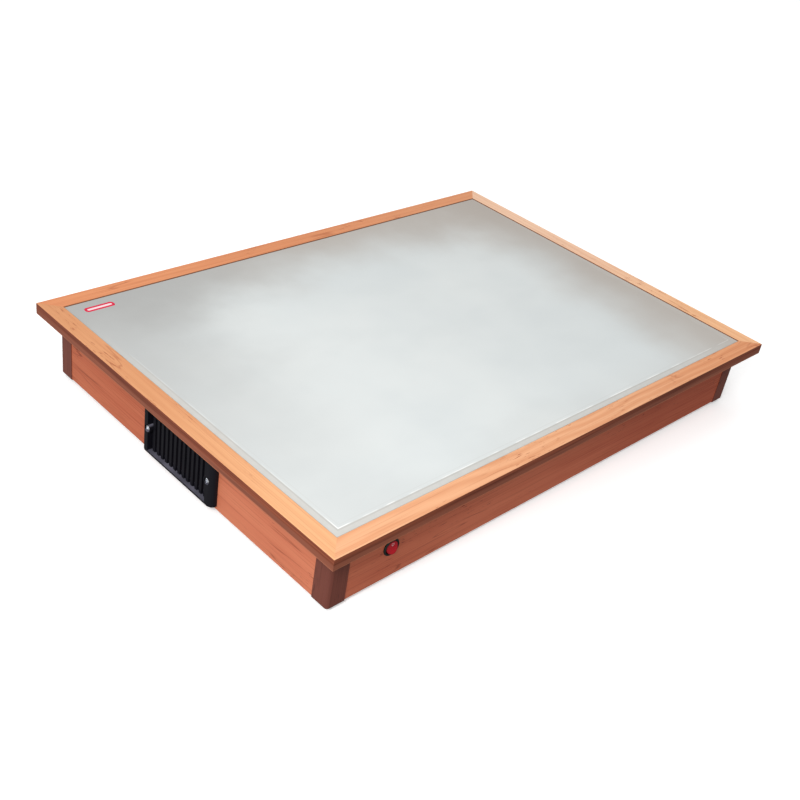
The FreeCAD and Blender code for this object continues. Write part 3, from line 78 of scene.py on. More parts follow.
CAMERA_PLACE = Vector((-1.0492, -0.8988, 0.8744))
CAMERA_AIM = Vector((-0.1397, -0.1054, 0.09))
CAMERA_ROLL = math.radians(9.86)
CAMERA_LENS = 50.917
CAMERA_SENSOR = 36.0
CAMERA_CLIP_END = 50

# Towards the bright side of the sky, its strength there and opposite, and where between the two it
# starts and ends to brighten.
SKY_BRIGHT_SIDE = (-0.62, -0.12, 0.78)
SKY_BRIGHT = 0.86
SKY_DIM = 0.15
SKY_TURN = (-0.6, 0.7)

# Place, aim, size across and power of each lamp.
LIGHTS = {
    "key": ((-1.5, -0.75, 1.25), (-0.25, -0.1, 0.05), 0.7, 22),
    "top": ((-0.3, 0.5, 2.4), (0.0, 0.0, 0.0), 1.6, 5),
}
FLOOR_REACH = 12.0

# Gum marks in the wood: how rare they are, from 0 to 1, in each kind of board.
FLECKS_FRAME = 0.59
FLECKS_PANEL = 0.6
FLECKS_POST = 0.56
FLECKS_PLY = 0.66
FLECKS_BEECH = 0.55


# ----------------------------------------------------------------------------- shader helpers


def srgb(red, green, blue):
    """A colour in the usual 0 to 255 steps, as the linear colour that a shader takes."""
    def linear(part):
        part /= 255
        return part / 12.92 if part <= 0.04045 else ((part + 0.055) / 1.055) ** 2.4
    return (linear(red), linear(green), linear(blue), 1.0)


class Graph:
    """A material's nodes, added by short calls that return an output socket."""

    def __init__(self, name, **constants):
        self.material = bpy.data.materials.new(name)
        self.material.use_nodes = True
        self.nodes = self.material.node_tree.nodes
        self.links = self.material.node_tree.links
        self.shader = self.nodes["Principled BSDF"]
        for label, value in constants.items():
            self.shader.inputs[label.replace("_", " ")].default_value = value

    def add(self, kind, values, **settings):
        """A node with its settings, and its inputs set to numbers or linked to sockets."""
        made = self.nodes.new(kind)
        for label, value in settings.items():
            setattr(made, label, value)
        for key, value in values.items():
            self.feed(made.inputs[key], value)
        return made

    def feed(self, socket, value):
        if isinstance(value, bpy.types.NodeSocket):
            self.links.new(value, socket)
        else:
            socket.default_value = value

    def coords(self, output="Object"):
        return self.add("ShaderNodeTexCoord", {}).outputs[output]

    def split(self, vector):
        """The three parts of a vector."""
        return self.add("ShaderNodeSeparateXYZ", {0: vector}).outputs

    def stretch(self, parts, scales):
        """A vector of three parts, each multiplied by its scale."""
        return self.join(*(self.math("MULTIPLY", part, scale) for part, scale in zip(parts, scales)))

    def length(self, first, second):
        """The length of a vector of two parts."""
        squares = (self.math("MULTIPLY", part, part) for part in (first, second))
        return self.math("SQRT", self.math("ADD", *squares))

    def distance(self, value, place):
        """How far a value is from a place, either way."""
        return self.math("ABSOLUTE", self.math("SUBTRACT", value, place))

    def join(self, x, y, z):
        return self.add("ShaderNodeCombineXYZ", {0: x, 1: y, 2: z}).outputs[0]

    def math(self, operation, first, second=0.0, third=0.0):
        values = {0: first, 1: second, 2: third}
        return self.add("ShaderNodeMath", values, operation=operation).outputs[0]

    def noise(self, vector, scale, detail=3.0, rough=0.5):
        values = {"Vector": vector, "Scale": scale, "Detail": detail, "Roughness": rough}
        return self.add("ShaderNodeTexNoise", values).outputs["Fac"]

    def band(self, value, low, high, out_low=0.0, out_high=1.0):
        """Smoothly from out_low, below low, to out_high, above high."""
        values = {"Value": value, "From Min": low, "From Max": high, "To Min": out_low,
                  "To Max": out_high}
        made = self.add("ShaderNodeMapRange", values, interpolation_type="SMOOTHSTEP")
        return made.outputs["Result"]

    def mix(self, share, first, second, blend="MIX"):
        made = self.add("ShaderNodeMix", {}, data_type="RGBA", blend_type=blend)
        self.feed(made.inputs["Factor"], share)
        self.feed(made.inputs[6], first)
        self.feed(made.inputs[7], second)
        return made.outputs[2]

    def bump(self, height, distance, strength, after=None):
        values = {"Height": height, "Distance": distance, "Strength": strength}
        if after is not None:
            values["Normal"] = after
        return self.add("ShaderNodeBump", values).outputs["Normal"]

    def finish(self, colour, roughness, normal=None):
        """The material, with these fed to its shader."""
        self.feed(self.shader.inputs["Base Color"], colour)
        self.feed(self.shader.inputs["Roughness"], roughness)
        if normal is not None:
            self.feed(self.shader.inputs["Normal"], normal)
        return self.material


def paint(node, material):
    """Give every slot of a node the material."""
    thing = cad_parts[node] if isinstance(node, str) else node
    if not thing.material_slots:
        thing.data.materials.append(material)
    for place in thing.material_slots:
        place.material = material


def inside_edge(graph, low, high):
    """Distance in from the edge of a box seen from above, in metres."""
    x, y, _ = graph.split(graph.coords())
    middle = (low + high) / 2
    half = (high - low) / 2
    from_x = graph.math("SUBTRACT", half.x, graph.distance(x, middle.x))
    from_y = graph.math("SUBTRACT", half.y, graph.distance(y, middle.y))
    return graph.math("MINIMUM", from_x, from_y)


# ----------------------------------------------------------------------------- wood


def wood_coords(graph, axis, seed):
    """Along the grain, across it and up through it, moved to a part of the tree of its own."""
    x, y, z = graph.split(graph.coords())
    grain = {"X": (x, y, z), "Y": (y, x, z), "Z": (z, x, y)}[axis]
    return tuple(graph.math("ADD", part, seed * step) for part, step in zip(grain, TREE_STEP))


def wood_figure(graph, grain, ring, swirl, tilt):
    """Growth rings cut by the surface: a wavy distance from the tree's heart, in bands."""
    along, across, through = grain
    wander = graph.stretch(grain, (2.6, 9.0, 9.0))
    drift = graph.math("SUBTRACT", graph.noise(wander, 1.0, 3.0, 0.45), 0.5)
    lean = graph.math("MULTIPLY", along, tilt)
    place = graph.math("ADD", graph.math("ADD", across, graph.math("MULTIPLY", through, 0.8)), lean)
    depth = graph.math("ADD", place, graph.math("MULTIPLY", drift, swirl))
    turns = graph.math("MULTIPLY", depth, 2 * math.pi / ring)
    return graph.math("MULTIPLY_ADD", graph.math("SINE", turns), 0.5, 0.5)


def wood_fibres(graph, grain, along_scale, across_scale, detail=4.0):
    """Noise drawn out along the grain."""
    stretched = graph.stretch(grain, (along_scale, across_scale, across_scale))
    return graph.noise(stretched, 1.0, detail, 0.6)


def wood_veins(graph, grain, along_scale, across_scale, width):
    """Thin dark lines that wander along the grain: the middle contour of a stretched noise."""
    stretched = graph.stretch(grain, (along_scale, across_scale, across_scale))
    level = graph.noise(stretched, 1.0, 2.0, 0.4)
    line = graph.band(graph.distance(level, 0.5), 0.0, width, 1.0, 0.0)
    patches = graph.noise(graph.stretch(grain, (6.0, 1.0, 1.0)), 1.6, 1.0)
    return graph.math("MULTIPLY", line, graph.band(patches, 0.5, 0.6))


def wood_dashes(graph, grain, flecks):
    """Short dark gum marks, gathered in loose groups."""
    marks = wood_fibres(graph, grain, 60.0, 520.0, 3.0)
    groups = graph.noise(graph.stretch(grain, (9.0, 28.0, 28.0)), 1.0, 2.0)
    return graph.math("MULTIPLY", graph.band(marks, flecks, flecks + 0.08), graph.band(groups, 0.53, 0.6))


def wood(name, axis, seed, light, dark, fleck, ring, swirl, tilt=0.0, flecks=FLECKS_FRAME,
         figure=0.3, veins=0.5, marks=0.75, gloss=0.42, edge=None, fade=None, curl=None):
    """A planed and oiled board.

    ring is the width of a growth ring, swirl how far the rings wander, and tilt how much they lean.
    edge is (stain, low, high): the sides that lie on that box are stained.  fade is (axis, start, end,
    colour): along that axis the board's colour deepens from the first place to the second; on the
    front and left panels and rails this is painted shade, where the light falls off away from the lamp,
    and on the back and right rails a change of tone along the board.  curl is (start, end): along X
    the grain turns curly from the first place to the second.
    """
    graph = Graph(name, Specular_IOR_Level=0.22)
    grain = wood_coords(graph, axis, seed)
    rings = wood_figure(graph, grain, ring, swirl, tilt)
    fibres = wood_fibres(graph, grain, 7.0, 620.0)
    streaks = wood_fibres(graph, grain, 3.0, 130.0, 2.0)
    cloud = graph.noise(graph.join(*grain), 7.0, 2.0)
    share = graph.math("MULTIPLY_ADD", rings, figure, graph.math("MULTIPLY", streaks, 0.2))
    share = graph.math("ADD", share, graph.math("MULTIPLY", cloud, 0.5))
    share = graph.band(share, 0.2, 0.62 + figure)
    colour = graph.mix(share, light, dark)
    colour = graph.mix(graph.band(fibres, 0.48, 0.72, 0.0, 0.28), colour, fleck)
    lines = wood_veins(graph, grain, 3.2, 46.0, 0.011)
    colour = graph.mix(graph.math("MULTIPLY", lines, veins), colour, fleck)
    if curl is not None:
        curly = wood_veins(graph, grain, 26.0, 75.0, 0.05)
        curly = graph.math("MULTIPLY", curly, graph.band(graph.split(graph.coords())[0], *curl, 0.0, 0.45))
        colour = graph.mix(curly, colour, fleck)
    dashes = wood_dashes(graph, grain, flecks)
    colour = graph.mix(graph.math("MULTIPLY", dashes, marks), colour, fleck)
    # Painted shade on the front and left boards, where the light falls off away from the lamp; a change of
    # tone on the back and right rails.
    if fade is not None:
        way, start, end, deep = fade
        place = graph.split(graph.coords())["XYZ".index(way)]
        colour = graph.mix(graph.band(place, start, end), colour, graph.mix(1.0, colour, deep, "MULTIPLY"))
    if edge is not None:
        colour = stained_sides(graph, colour, fibres, streaks, *edge)
    roughness = graph.band(fibres, 0.3, 0.7, gloss - 0.06, gloss + 0.1)
    normal = graph.bump(fibres, 0.00015, 0.6)
    normal = graph.bump(graph.math("SUBTRACT", 1.0, dashes), 0.0002, 0.4, normal)
    return graph.finish(colour, roughness, normal)


def stained_sides(graph, colour, fibres, streaks, stain, low, high):
    """The board's outer sides are stained, paler over their lower half, with a painted highlight along
    the lower arris; its other upright sides, the walls of the rebate, are a plain darker brown as painted
    shade.
    """
    height = graph.split(graph.coords())[2]
    up = graph.split(graph.coords("Normal"))[2]
    side = graph.band(graph.math("ABSOLUTE", up), 0.35, 0.8, 1.0, 0.0)
    outer = graph.band(inside_edge(graph, low, high), *OUTER_DEPTH, 1.0, 0.0)
    shade = graph.mix(graph.band(streaks, 0.3, 0.7, 0.0, 0.7), stain, srgb(92, 44, 32))
    shade = graph.mix(graph.band(fibres, 0.45, 0.65, 0.0, 0.45), shade, srgb(64, 28, 20))
    half = (high.z - low.z) / 2
    lower = graph.band(height, low.z + half * 0.85, low.z + half * 1.05, 1.0, 0.0)
    shade = graph.mix(graph.math("MULTIPLY", lower, 0.35), shade, srgb(156, 100, 80))
    # Painted highlight along the lower arris, where it catches light from below.
    arris_highlight = graph.band(height, *(low.z + place for place in ARRIS_HIGHLIGHT_HEIGHT), 0.7, 0.0)
    shade = graph.mix(arris_highlight, shade, srgb(186, 118, 88))
    # Upright sides that are not outer, the walls of the rebate, take a plain darker brown: painted shade.
    shade = graph.mix(outer, srgb(150, 98, 72), shade)
    return graph.mix(side, colour, shade)


def frame_rails():
    """Pale cherry with darker outer edges; each rail is its own board."""
    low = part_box("frame_rail_left")[0]
    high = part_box("frame_rail_right")[1]
    edge = (srgb(146, 78, 54), low, high)
    mark = srgb(158, 74, 42)
    # Painted shade for the front and left rails, which darken away from the lamp.
    painted_falloff_left = srgb(236, 222, 216)
    painted_falloff_front = srgb(250, 236, 226)
    # Grain's axis, seed, light and dark, swirl, tilt, figure and fade; the fade is painted shade on the front
    # and left rails and a change of tone on the back and right.
    boards = {
        "front": ("X", 1.0, srgb(234, 176, 134), srgb(218, 152, 110), 0.07, 0.03, 0.4,
                  ("X", 0.1, 0.35, painted_falloff_front)),
        "left": ("Y", 2.0, srgb(234, 178, 130), srgb(222, 160, 114), 0.022, 0.01, 0.15,
                 ("Y", -0.25, 0.1, painted_falloff_left)),
        "back": ("X", 3.0, srgb(228, 158, 114), srgb(218, 144, 102), 0.015, 0.0, 0.2,
                 ("X", 0.35, -0.1, srgb(250, 240, 232))),
        "right": ("Y", 4.0, srgb(248, 208, 177), srgb(236, 186, 152), 0.02, -0.02, 0.2,
                  ("Y", 0.05, -0.2, srgb(252, 236, 212))),
    }
    for side, (axis, seed, light, dark, swirl, tilt, figure, fade) in boards.items():
        material = wood(f"frame_wood_{side}", axis, seed, light, dark, mark, ring=0.011, swirl=swirl,
                        tilt=tilt, figure=figure, veins=0.4, edge=edge, fade=fade,
                        curl=(-0.05, 0.12) if side == "front" else None)
        paint(f"frame_rail_{side}", material)


def case_wood():
    """Reddish panels between dark corner posts."""
    # Painted shade: the front and left panels darken away from the lamp.
    painted_falloff = {"front": ("X", -0.15, 0.4, srgb(222, 200, 192)), "left": ("Y", -0.1, 0.15, srgb(240, 226, 218))}
    for number, (side, axis) in enumerate({"front": "X", "back": "X", "left": "Y", "right": "Y"}.items()):
        light, dark = srgb(206, 118, 88), srgb(188, 98, 72)
        # The left panel, which faces the lamp, takes paler colours: painted light.
        if side == "left":
            light, dark = srgb(210, 126, 94), srgb(194, 106, 77)
        material = wood(f"panel_wood_{side}", axis, 5.0 + number, light, dark, srgb(104, 38, 26),
                        ring=0.02, swirl=0.05, tilt=0.02, flecks=FLECKS_PANEL, figure=0.12, veins=0.45,
                        gloss=0.4, fade=painted_falloff.get(side))
        paint(f"panel_{side}", material)
    for number, corner in enumerate(("front_left", "front_right", "back_left", "back_right")):
        material = wood(f"post_wood_{corner}", "Z", 11.0 + number, srgb(120, 68, 56), srgb(106, 58, 50),
                        srgb(50, 24, 20), ring=0.013, swirl=0.012, flecks=FLECKS_POST, figure=0.05,
                        veins=0.3, marks=0.6, gloss=0.4)
        paint(f"post_{corner}", material)


def inner_wood():
    """Birch plywood for the floor and its cleats, and beech biscuits."""
    ply = wood("plywood_birch", "X", 17.0, srgb(226, 198, 156), srgb(208, 174, 130), srgb(168, 124, 84),
               ring=0.03, swirl=0.08, flecks=FLECKS_PLY, gloss=0.6)
    paint("base_panel", ply)
    paint("base_cleats", ply)
    beech = wood("beech_biscuit", "X", 19.0, srgb(224, 180, 136), srgb(206, 156, 112), srgb(170, 118, 80),
                 ring=0.004, swirl=0.003, flecks=FLECKS_BEECH, gloss=0.65)
    paint("mitre_biscuits", beech)


# ----------------------------------------------------------------------------- glass top


def from_side(graph, value, edge, drift, reach, share):
    """A shade of the given share along one side, fading out over the reach."""
    away = graph.math("ADD", graph.distance(value, edge), drift)
    return graph.band(away, 0.0, reach, share, 0.0)


def shaded_border(graph, low, high):
    """How much painted shade greys the glass: most along the back and the right, least along the front."""
    x, y, _ = graph.split(graph.coords())
    drift = graph.math("MULTIPLY", graph.math("SUBTRACT", graph.noise(graph.coords(), 7.0, 4.0), 0.5), 0.14)
    left = graph.band(y, -0.3, 0.25, 0.15, 0.75)
    clear = 1.0
    # Value, the edge it is measured from, reach and share.
    sides = ((x, high.x, 0.18, 0.9), (y, high.y, 0.15, 0.85), (x, low.x, 0.24, left), (y, low.y, 0.08, 0.1))
    for value, edge, reach, share in sides:
        shade = from_side(graph, value, edge, drift, reach, share)
        clear = graph.math("MULTIPLY", clear, graph.math("SUBTRACT", 1.0, shade))
    return graph.math("SUBTRACT", 1.0, clear)


def seat_ring(graph, depth, line, share):
    """A soft line round the glass, between two distances in from the inner edge of its seat."""
    start, end = (SEAT_EDGE + place for place in line)
    soft = 0.0006
    ring = graph.math("MULTIPLY", graph.band(depth, start - soft, start),
                      graph.band(depth, end, end + soft, 1.0, 0.0))
    return graph.math("MULTIPLY", ring, share)


def glass_body(graph, low, high):
    """Cool white with faint wiping marks, and painted shade greying it towards the edges."""
    x, y, _ = graph.split(graph.coords())
    haze = graph.noise(graph.coords(), 5.0)
    body = graph.mix(graph.band(haze, 0.3, 0.7), srgb(217, 221, 220), srgb(210, 215, 215))
    wiped = graph.noise(graph.stretch((x, y, 0.0), (3.0, 6.0, 0.0)), 2.5, 4.0)
    body = graph.mix(graph.band(wiped, 0.45, 0.75, 0.0, 0.2), body, srgb(200, 205, 205))
    # Painted shade for the edges, a neutral grey to the left and warmer to the right.
    cool = graph.band(x, -0.3, 0.1, 1.0, 0.0)
    border_shade = graph.mix(cool, srgb(180, 172, 164), srgb(168, 168, 166))
    return graph.mix(shaded_border(graph, low, high), body, border_shade)


def etched_glass():
    """Frosted glass over the opal sheet.

    The seat shows through at the front and near the left: a greyer band with a painted shadow line in it,
    a broken painted highlight where the opal sheet meets the tape, and a faint painted reflection of that
    edge further in.
    """
    low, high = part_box("top_glass")
    graph = Graph("etched_glass", IOR=1.5, Specular_IOR_Level=0.3)
    x, y, _ = graph.split(graph.coords())
    depth = inside_edge(graph, low, high)
    near = graph.math("MULTIPLY", graph.band(y, 0.0, 0.24, 1.0, 0.0), graph.band(x, 0.2, 0.38, 1.0, 0.3))
    front = graph.band(y, low.y + 0.015, low.y + 0.04, 1.0, 0.3)
    broken = graph.band(graph.noise(graph.coords(), 30.0, 3.0), 0.4, 0.6)
    seat = graph.mix(graph.noise(graph.coords(), 120.0, 2.0), srgb(188, 186, 180), srgb(202, 199, 194))
    under = graph.math("MULTIPLY", graph.band(depth, SEAT_EDGE - 0.001, SEAT_EDGE, 0.8, 0.0), near)
    colour = graph.mix(under, glass_body(graph, low, high), seat)
    shadow = seat_ring(graph, depth, SEAT_SHADOW, graph.math("MULTIPLY", near, 0.4))
    colour = graph.mix(shadow, colour, srgb(168, 166, 160))
    # Painted highlight: a broken bright line where the opal sheet meets the tape, at the front and near the
    # left.
    lit = graph.math("MULTIPLY", graph.math("MULTIPLY", front, near), broken)
    colour = graph.mix(seat_ring(graph, depth, OPAL_EDGE_HIGHLIGHT, lit), colour, srgb(232, 233, 231))
    # Painted reflection of the opal sheet's edge: a faint darker line further in.
    reflection_line = seat_ring(graph, depth, OPAL_REFLECTION, graph.math("MULTIPLY", near, 0.2))
    colour = graph.mix(reflection_line, colour, srgb(190, 188, 182))
    colour = graph.mix(graph.band(depth, 0.0004, 0.0012, 0.7, 0.0), colour, srgb(150, 162, 156))
    grit = graph.noise(graph.coords(), 2600.0, 2.0)
    roughness = graph.band(broken, 0.3, 0.7, 0.5, 0.56)
    paint("top_glass", graph.finish(colour, roughness, graph.bump(grit, 0.00003, 0.25)))


def opal_sheet():
    graph = Graph("opal_acrylic", Coat_Weight=0.2, Coat_Roughness=0.15)
    haze = graph.noise(graph.coords(), 9.0, 3.0)
    colour = graph.mix(haze, srgb(244, 244, 241), srgb(236, 237, 234))
    roughness = graph.band(haze, 0.3, 0.7, 0.2, 0.3)
    paint("opal_diffuser", graph.finish(colour, roughness))


def blank_badge():
    """Red enamel pill with a plain pale bar and no lettering."""
    low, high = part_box("badge_blank")
    middle = (low + high) / 2
    half = (high - low) / 2
    graph = Graph("badge_enamel", Specular_IOR_Level=0.4)
    x, y, _ = graph.split(graph.coords())
    along = graph.math("SUBTRACT", graph.distance(x, middle.x), half.x - half.y)
    away = graph.length(graph.math("MAXIMUM", along, 0.0), graph.math("SUBTRACT", y, middle.y))
    wave = graph.noise(graph.coords(), 260.0, 2.0)
    red = graph.mix(wave, srgb(224, 18, 70), srgb(204, 12, 58))
    bar = graph.band(away, half.y * 0.34, half.y * 0.42, 0.9, 0.0)
    colour = graph.mix(bar, red, srgb(244, 226, 230))
    raised = graph.bump(bar, 0.0002, 0.6)
    paint("badge_blank", graph.finish(colour, graph.band(wave, 0.3, 0.7, 0.22, 0.32), raised))


def felt_tape():
    graph = Graph("felt_grey", Sheen_Weight=0.4, Sheen_Roughness=0.5)
    fuzz = graph.noise(graph.coords(), 1400.0, 4.0, 0.7)
    colour = graph.mix(fuzz, srgb(120, 120, 118), srgb(176, 176, 172))
    paint("seat_tape", graph.finish(colour, 0.95, graph.bump(fuzz, 0.0003, 0.8)))


# ----------------------------------------------------------------------------- metal and plastic


def moulded(name, light, dark, roughness, texture=900.0, depth=0.00004, **constants):
    """Moulded plastic or rubber: a fine spark-eroded texture and slow changes of tone."""
    graph = Graph(name, **constants)
    slow = graph.noise(graph.coords(), 22.0, 3.0)
    fine = graph.noise(graph.coords(), texture, 3.0, 0.6)
    colour = graph.mix(slow, light, dark)
    colour = graph.mix(graph.band(fine, 0.6, 0.8, 0.0, 0.25), colour, dark)
    rough = graph.band(slow, 0.3, 0.7, roughness - 0.05, roughness + 0.06)
    return graph.finish(colour, rough, graph.bump(fine, depth, 0.5))


def metal(name, light, dark, roughness, stretch=(1.0, 1.0, 1.0), scale=300.0):
    """Bare or plated metal with fine marks, drawn out along the way it was worked."""
    graph = Graph(name, Metallic=1.0)
    worked = graph.stretch(graph.split(graph.coords()), stretch)
    marks = graph.noise(worked, scale, 4.0, 0.65)
    cloud = graph.noise(graph.coords(), 35.0, 2.0)
    share = graph.math("MULTIPLY_ADD", marks, 0.5, graph.math("MULTIPLY", cloud, 0.5))
    colour = graph.mix(share, light, dark)
    rough = graph.band(marks, 0.3, 0.7, roughness - 0.06, roughness + 0.08)
    return graph.finish(colour, rough, graph.bump(marks, 0.00003, 0.4))


def grille_plastic():
    """Black moulding, paler on what faces up: dust there, and painted light from the sky above."""
    graph = Graph("black_plastic_grille", Specular_IOR_Level=0.16)
    slow = graph.noise(graph.coords(), 40.0, 3.0)
    fine = graph.noise(graph.coords(), 1500.0, 2.0)
    black = graph.mix(slow, srgb(21, 20, 27), srgb(13, 12, 18))
    up = graph.split(graph.coords("Normal"))[2]
    # Dust, and painted light from the sky, on faces that point up.
    dust_and_sky_light = graph.math("MULTIPLY", graph.band(up, 0.5, 0.95), graph.band(slow, 0.2, 0.8, 0.3, 0.7))
    colour = graph.mix(dust_and_sky_light, black, srgb(136, 134, 150))
    rough = graph.band(slow, 0.3, 0.7, 0.38, 0.5)
    paint("vent_grille", graph.finish(colour, rough, graph.bump(fine, 0.00005, 0.5)))


def plastics():
    black = moulded("black_plastic", srgb(30, 42, 38), srgb(20, 28, 26), 0.34, Specular_IOR_Level=0.3)
    paint("switch_housing", black)
    paint("power_inlet", black)
    white = moulded("holder_plastic", srgb(238, 237, 231), srgb(226, 224, 216), 0.4)
    for number in range(1, 5):
        paint(f"lamp_holders_{number}", white)
    paint("terminal_block", white)
    nylon = moulded("white_nylon", srgb(228, 226, 214), srgb(212, 209, 196), 0.5)
    paint("switch_plunger", nylon)
    paint("lead_clips", nylon)
    rubber = moulded("black_rubber", srgb(38, 38, 38), srgb(24, 24, 24), 0.72, 500.0, 0.0001)
    for node in ("rubber_feet", "switch_boot", "inlet_boot"):
        paint(node, rubber)
    sheath = moulded("lead_pvc", srgb(232, 231, 226), srgb(216, 215, 208), 0.42, 300.0)
    for node in ("lead_inlet", "lead_switch", "lead_feed", "lead_lamps"):
        paint(node, sheath)


def metals():
    steel = metal("gear_steel", srgb(196, 198, 200), srgb(160, 163, 166), 0.36, (1.0, 0.05, 1.0))
    paint("ballast_1", steel)
    paint("ballast_2", steel)
    aluminium = metal("cap_aluminium", srgb(214, 215, 217), srgb(184, 186, 189), 0.3, (1.0, 0.2, 0.2))
    for number in range(1, 5):
        paint(f"lamp_caps_{number}", aluminium)
    brass = metal("brass_strip", srgb(214, 176, 96), srgb(180, 140, 70), 0.28)
    for node in ("switch_contact", "switch_terminals", "inlet_blades"):
        paint(node, brass)
    zinc = metal("zinc_plate", srgb(248, 249, 252), srgb(226, 230, 236), 0.24, scale=900.0)
    for node in ("frame_screws", "base_screws", "inlet_screws", "vent_screws", "foot_screws", "gear_screws"):
        paint(node, zinc)
    white = moulded("white_steel", srgb(243, 243, 240), srgb(234, 234, 230), 0.3, 240.0, 0.00006)
    paint("reflector_tray", white)


def lamp_glass():
    """Phosphor-white tubes, greyed near the caps where the electrodes are."""
    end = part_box("lamp_tube_1")[1].x
    graph = Graph("lamp_glass", Coat_Weight=0.9, Coat_Roughness=0.04)
    along = graph.math("ABSOLUTE", graph.split(graph.coords())[0])
    cloud = graph.noise(graph.coords(), 60.0, 3.0)
    white = graph.mix(cloud, srgb(246, 247, 246), srgb(238, 240, 238))
    grey_start, grey_end = end - 0.045, end - 0.02
    grey = graph.math("MULTIPLY", graph.band(along, grey_start, grey_end), 0.55)
    colour = graph.mix(graph.math("MULTIPLY", grey, cloud), white, srgb(120, 116, 112))
    material = graph.finish(colour, graph.band(cloud, 0.3, 0.7, 0.3, 0.4))
    for number in range(1, 5):
        paint(f"lamp_tube_{number}", material)


# ----------------------------------------------------------------------------- rocker lens


def lens_height(y, radius):
    """The rocker's face: two slopes that meet in a soft hollow, and a rounded rim."""
    hollow = ROCKER_RADIUS * 0.08
    height = ROCKER_FACE + math.tan(ROCKER_SLOPE) * (math.hypot(y, hollow) - hollow)
    over = radius - (ROCKER_RADIUS - ROCKER_ROUND)
    if over > 0:
        height -= ROCKER_ROUND - math.sqrt(max(ROCKER_ROUND ** 2 - over ** 2, 0.0))
    return height


def lens_mesh():
    """The lens as rings of points from the middle of its face out to the rim, down and under."""
    around = 96
    flat_rings = 22
    rim_rings = 8
    flat_reach = 0.999 * (ROCKER_RADIUS - ROCKER_ROUND)
    radii = [flat_reach * step / flat_rings for step in range(1, flat_rings + 1)]
    radii += [ROCKER_RADIUS - ROCKER_ROUND * (1 - math.sin(math.pi / 2 * step / rim_rings))
              for step in range(1, rim_rings + 1)]
    turns = [2 * math.pi * step / around for step in range(around)]
    mesh = bmesh.new()
    middle = mesh.verts.new((0, 0, lens_height(0, 0)))
    rings = []
    for radius in radii:
        points = [(radius * math.cos(turn), radius * math.sin(turn)) for turn in turns]
        rings.append([mesh.verts.new((x, y, lens_height(y, radius))) for x, y in points])
    for inset, drop in ((0.0, ROCKER_ROUND), (ROCKER_ROUND, 0.0)):
        radius = ROCKER_RADIUS - inset
        rings.append([mesh.verts.new((radius * math.cos(turn), radius * math.sin(turn), drop - ROCKER_BACK))
                      for turn in turns])
    for step in range(around):
        mesh.faces.new((middle, rings[0][step], rings[0][(step + 1) % around]))
    for inner, outer in zip(rings, rings[1:]):
        for step in range(around):
            after = (step + 1) % around
            mesh.faces.new((inner[step], outer[step], outer[after], inner[after]))
    mesh.faces.new(list(reversed(rings[-1])))
    add_trunnions(mesh)
    return mesh


def add_trunnions(mesh):
    """The two pins that the lens turns on."""
    start = ROCKER_RADIUS * 0.9
    length = TRUNNION_REACH - start
    for side in (-1, 1):
        place = Matrix.Translation((side * (start + length / 2), 0, 0)) @ Matrix.Rotation(math.pi / 2, 4, "Y")
        bmesh.ops.create_cone(mesh, cap_ends=True, segments=32, radius1=TRUNNION_RADIUS,
                              radius2=TRUNNION_RADIUS, depth=length, matrix=place)


def lens_material():
    """Glossy red plastic with a pale ring mark on its upper half."""
    graph = Graph("red_lens", IOR=1.49, Specular_IOR_Level=0.4)
    x, y, z = graph.split(graph.coords())
    away = graph.length(x, graph.math("SUBTRACT", y, MARK_PLACE))
    ring = graph.band(graph.distance(away, MARK_RADIUS), *MARK_LINE, 1.0, 0.0)
    mark = graph.math("MULTIPLY", ring, graph.band(z, *MARK_FADE))
    cloud = graph.noise(graph.coords(), 500.0, 3.0)
    red = graph.mix(cloud, srgb(206, 30, 44), srgb(176, 18, 34))
    rim = graph.band(graph.length(x, y), ROCKER_RADIUS * 0.8, ROCKER_RADIUS)
    red = graph.mix(graph.math("MULTIPLY", rim, 0.5), red, srgb(96, 4, 16))
    colour = graph.mix(mark, red, srgb(236, 200, 200))
    normal = graph.bump(graph.noise(graph.coords(), 900.0, 2.0), 0.00008, 0.4)
    return graph.finish(colour, graph.band(cloud, 0.3, 0.7, 0.16, 0.28), normal)


def rocker_lens():
    data = bpy.data.meshes.new("rocker_lens")
    mesh = lens_mesh()
    bmesh.ops.recalc_face_normals(mesh, faces=mesh.faces)
    mesh.to_mesh(data)
    mesh.free()
    data.shade_smooth()
    data.set_sharp_from_angle(angle=math.radians(40))
    lens = bpy.data.objects.new("rocker_lens", data)
    bpy.context.scene.collection.objects.link(lens)
    lean = Matrix.Rotation(math.pi / 2 - ROCKER_SLOPE, 4, "X")
    lens.matrix_world = Matrix.Translation(SWITCH_PIVOT) @ lean
    paint(lens, lens_material())
    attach(lens, "rocker")
    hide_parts("switch_rocker")


# ----------------------------------------------------------------------------- stage


def floor():
    """A white floor that shows shadows, but throws no light back up at the object."""
    data = bpy.data.meshes.new("floor")
    corners = [(x * FLOOR_REACH, y * FLOOR_REACH, 0) for x, y in ((-1, -1), (1, -1), (1, 1), (-1, 1))]
    data.from_pydata(corners, [], [(0, 1, 2, 3)])
    plane = bpy.data.objects.new("floor", data)
    bpy.context.scene.collection.objects.link(plane)
    plane.visible_diffuse = False
    plane.visible_glossy = False
    graph = Graph("floor_white", Specular_IOR_Level=0.0, Emission_Color=(1, 1, 1, 1), Emission_Strength=0.3)
    tone = graph.noise(graph.coords(), 0.7, 2.0)
    white = graph.mix(tone, (0.93, 0.93, 0.93, 1), (0.91, 0.91, 0.91, 1))
    plane.data.materials.append(graph.finish(white, 0.9))


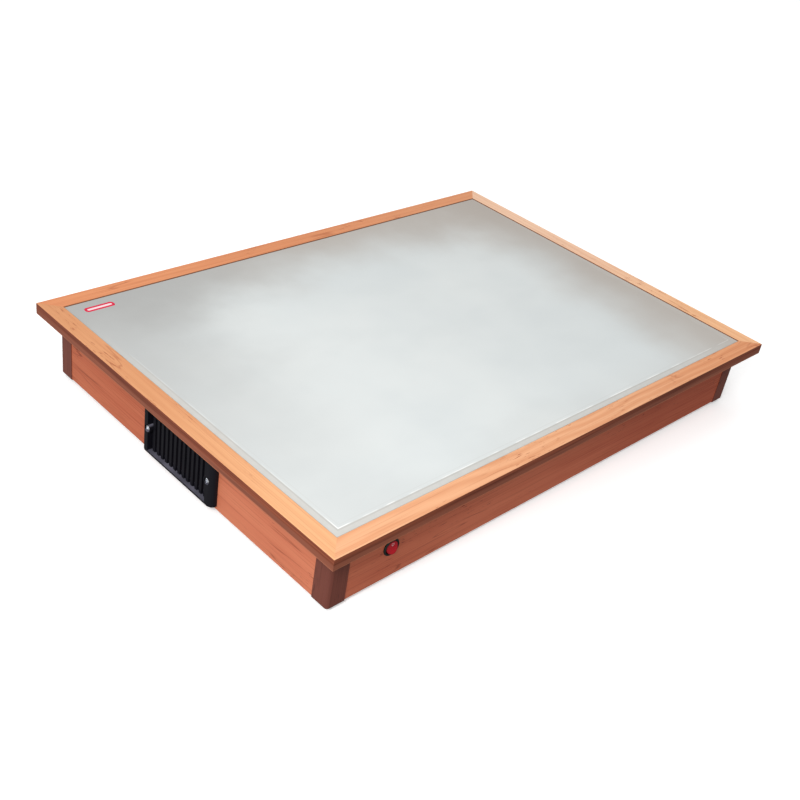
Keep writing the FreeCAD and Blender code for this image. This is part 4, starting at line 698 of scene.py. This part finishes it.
def area_light(name, place, aim, size, power):
    lamp = bpy.data.lights.new(name, "AREA")
    lamp.shape = "DISK"
    lamp.size = size
    lamp.energy = power
    thing = bpy.data.objects.new(name, lamp)
    thing.location = place
    thing.rotation_mode = "QUATERNION"
    thing.rotation_quaternion = (Vector(aim) - Vector(place)).to_track_quat("-Z", "Y")
    bpy.context.scene.collection.objects.link(thing)


def surround():
    """A white sky, brighter to the left, over a dim ground."""
    world = bpy.data.worlds.new("surround")
    world.use_nodes = True
    nodes = world.node_tree.nodes
    links = world.node_tree.links
    sky = nodes["Background"]
    place = nodes.new("ShaderNodeTexCoord")
    tilt = nodes.new("ShaderNodeVectorMath")
    tilt.operation = "DOT_PRODUCT"
    tilt.inputs[1].default_value = SKY_BRIGHT_SIDE
    links.new(place.outputs["Generated"], tilt.inputs[0])
    share = nodes.new("ShaderNodeMapRange")
    share.interpolation_type = "SMOOTHSTEP"
    share.inputs["From Min"].default_value, share.inputs["From Max"].default_value = SKY_TURN
    share.inputs["To Min"].default_value = SKY_DIM
    share.inputs["To Max"].default_value = SKY_BRIGHT
    links.new(tilt.outputs["Value"], share.inputs["Value"])
    links.new(share.outputs["Result"], sky.inputs["Strength"])
    sky.inputs["Color"].default_value = (1.0, 1.0, 1.0, 1.0)
    bpy.context.scene.world = world


def studio():
    """Soft light from the left and above."""
    for name, light in LIGHTS.items():
        area_light(name, *light)
    surround()
    bpy.context.scene.view_settings.view_transform = "Standard"


def camera():
    data = bpy.data.cameras.new("camera")
    data.sensor_width = CAMERA_SENSOR
    data.lens = CAMERA_LENS
    data.clip_end = CAMERA_CLIP_END
    thing = bpy.data.objects.new("camera", data)
    thing.location = CAMERA_PLACE
    level = (CAMERA_AIM - CAMERA_PLACE).to_track_quat("-Z", "Y").to_matrix().to_4x4()
    turned = level @ Matrix.Rotation(CAMERA_ROLL, 4, "Z")
    thing.rotation_mode = "QUATERNION"
    thing.rotation_quaternion = turned.to_quaternion()
    bpy.context.scene.collection.objects.link(thing)
    bpy.context.scene.camera = thing


def build():
    frame_rails()
    case_wood()
    inner_wood()
    etched_glass()
    opal_sheet()
    blank_badge()
    felt_tape()
    grille_plastic()
    plastics()
    metals()
    lamp_glass()
    rocker_lens()
    floor()
    studio()
    camera()


build()
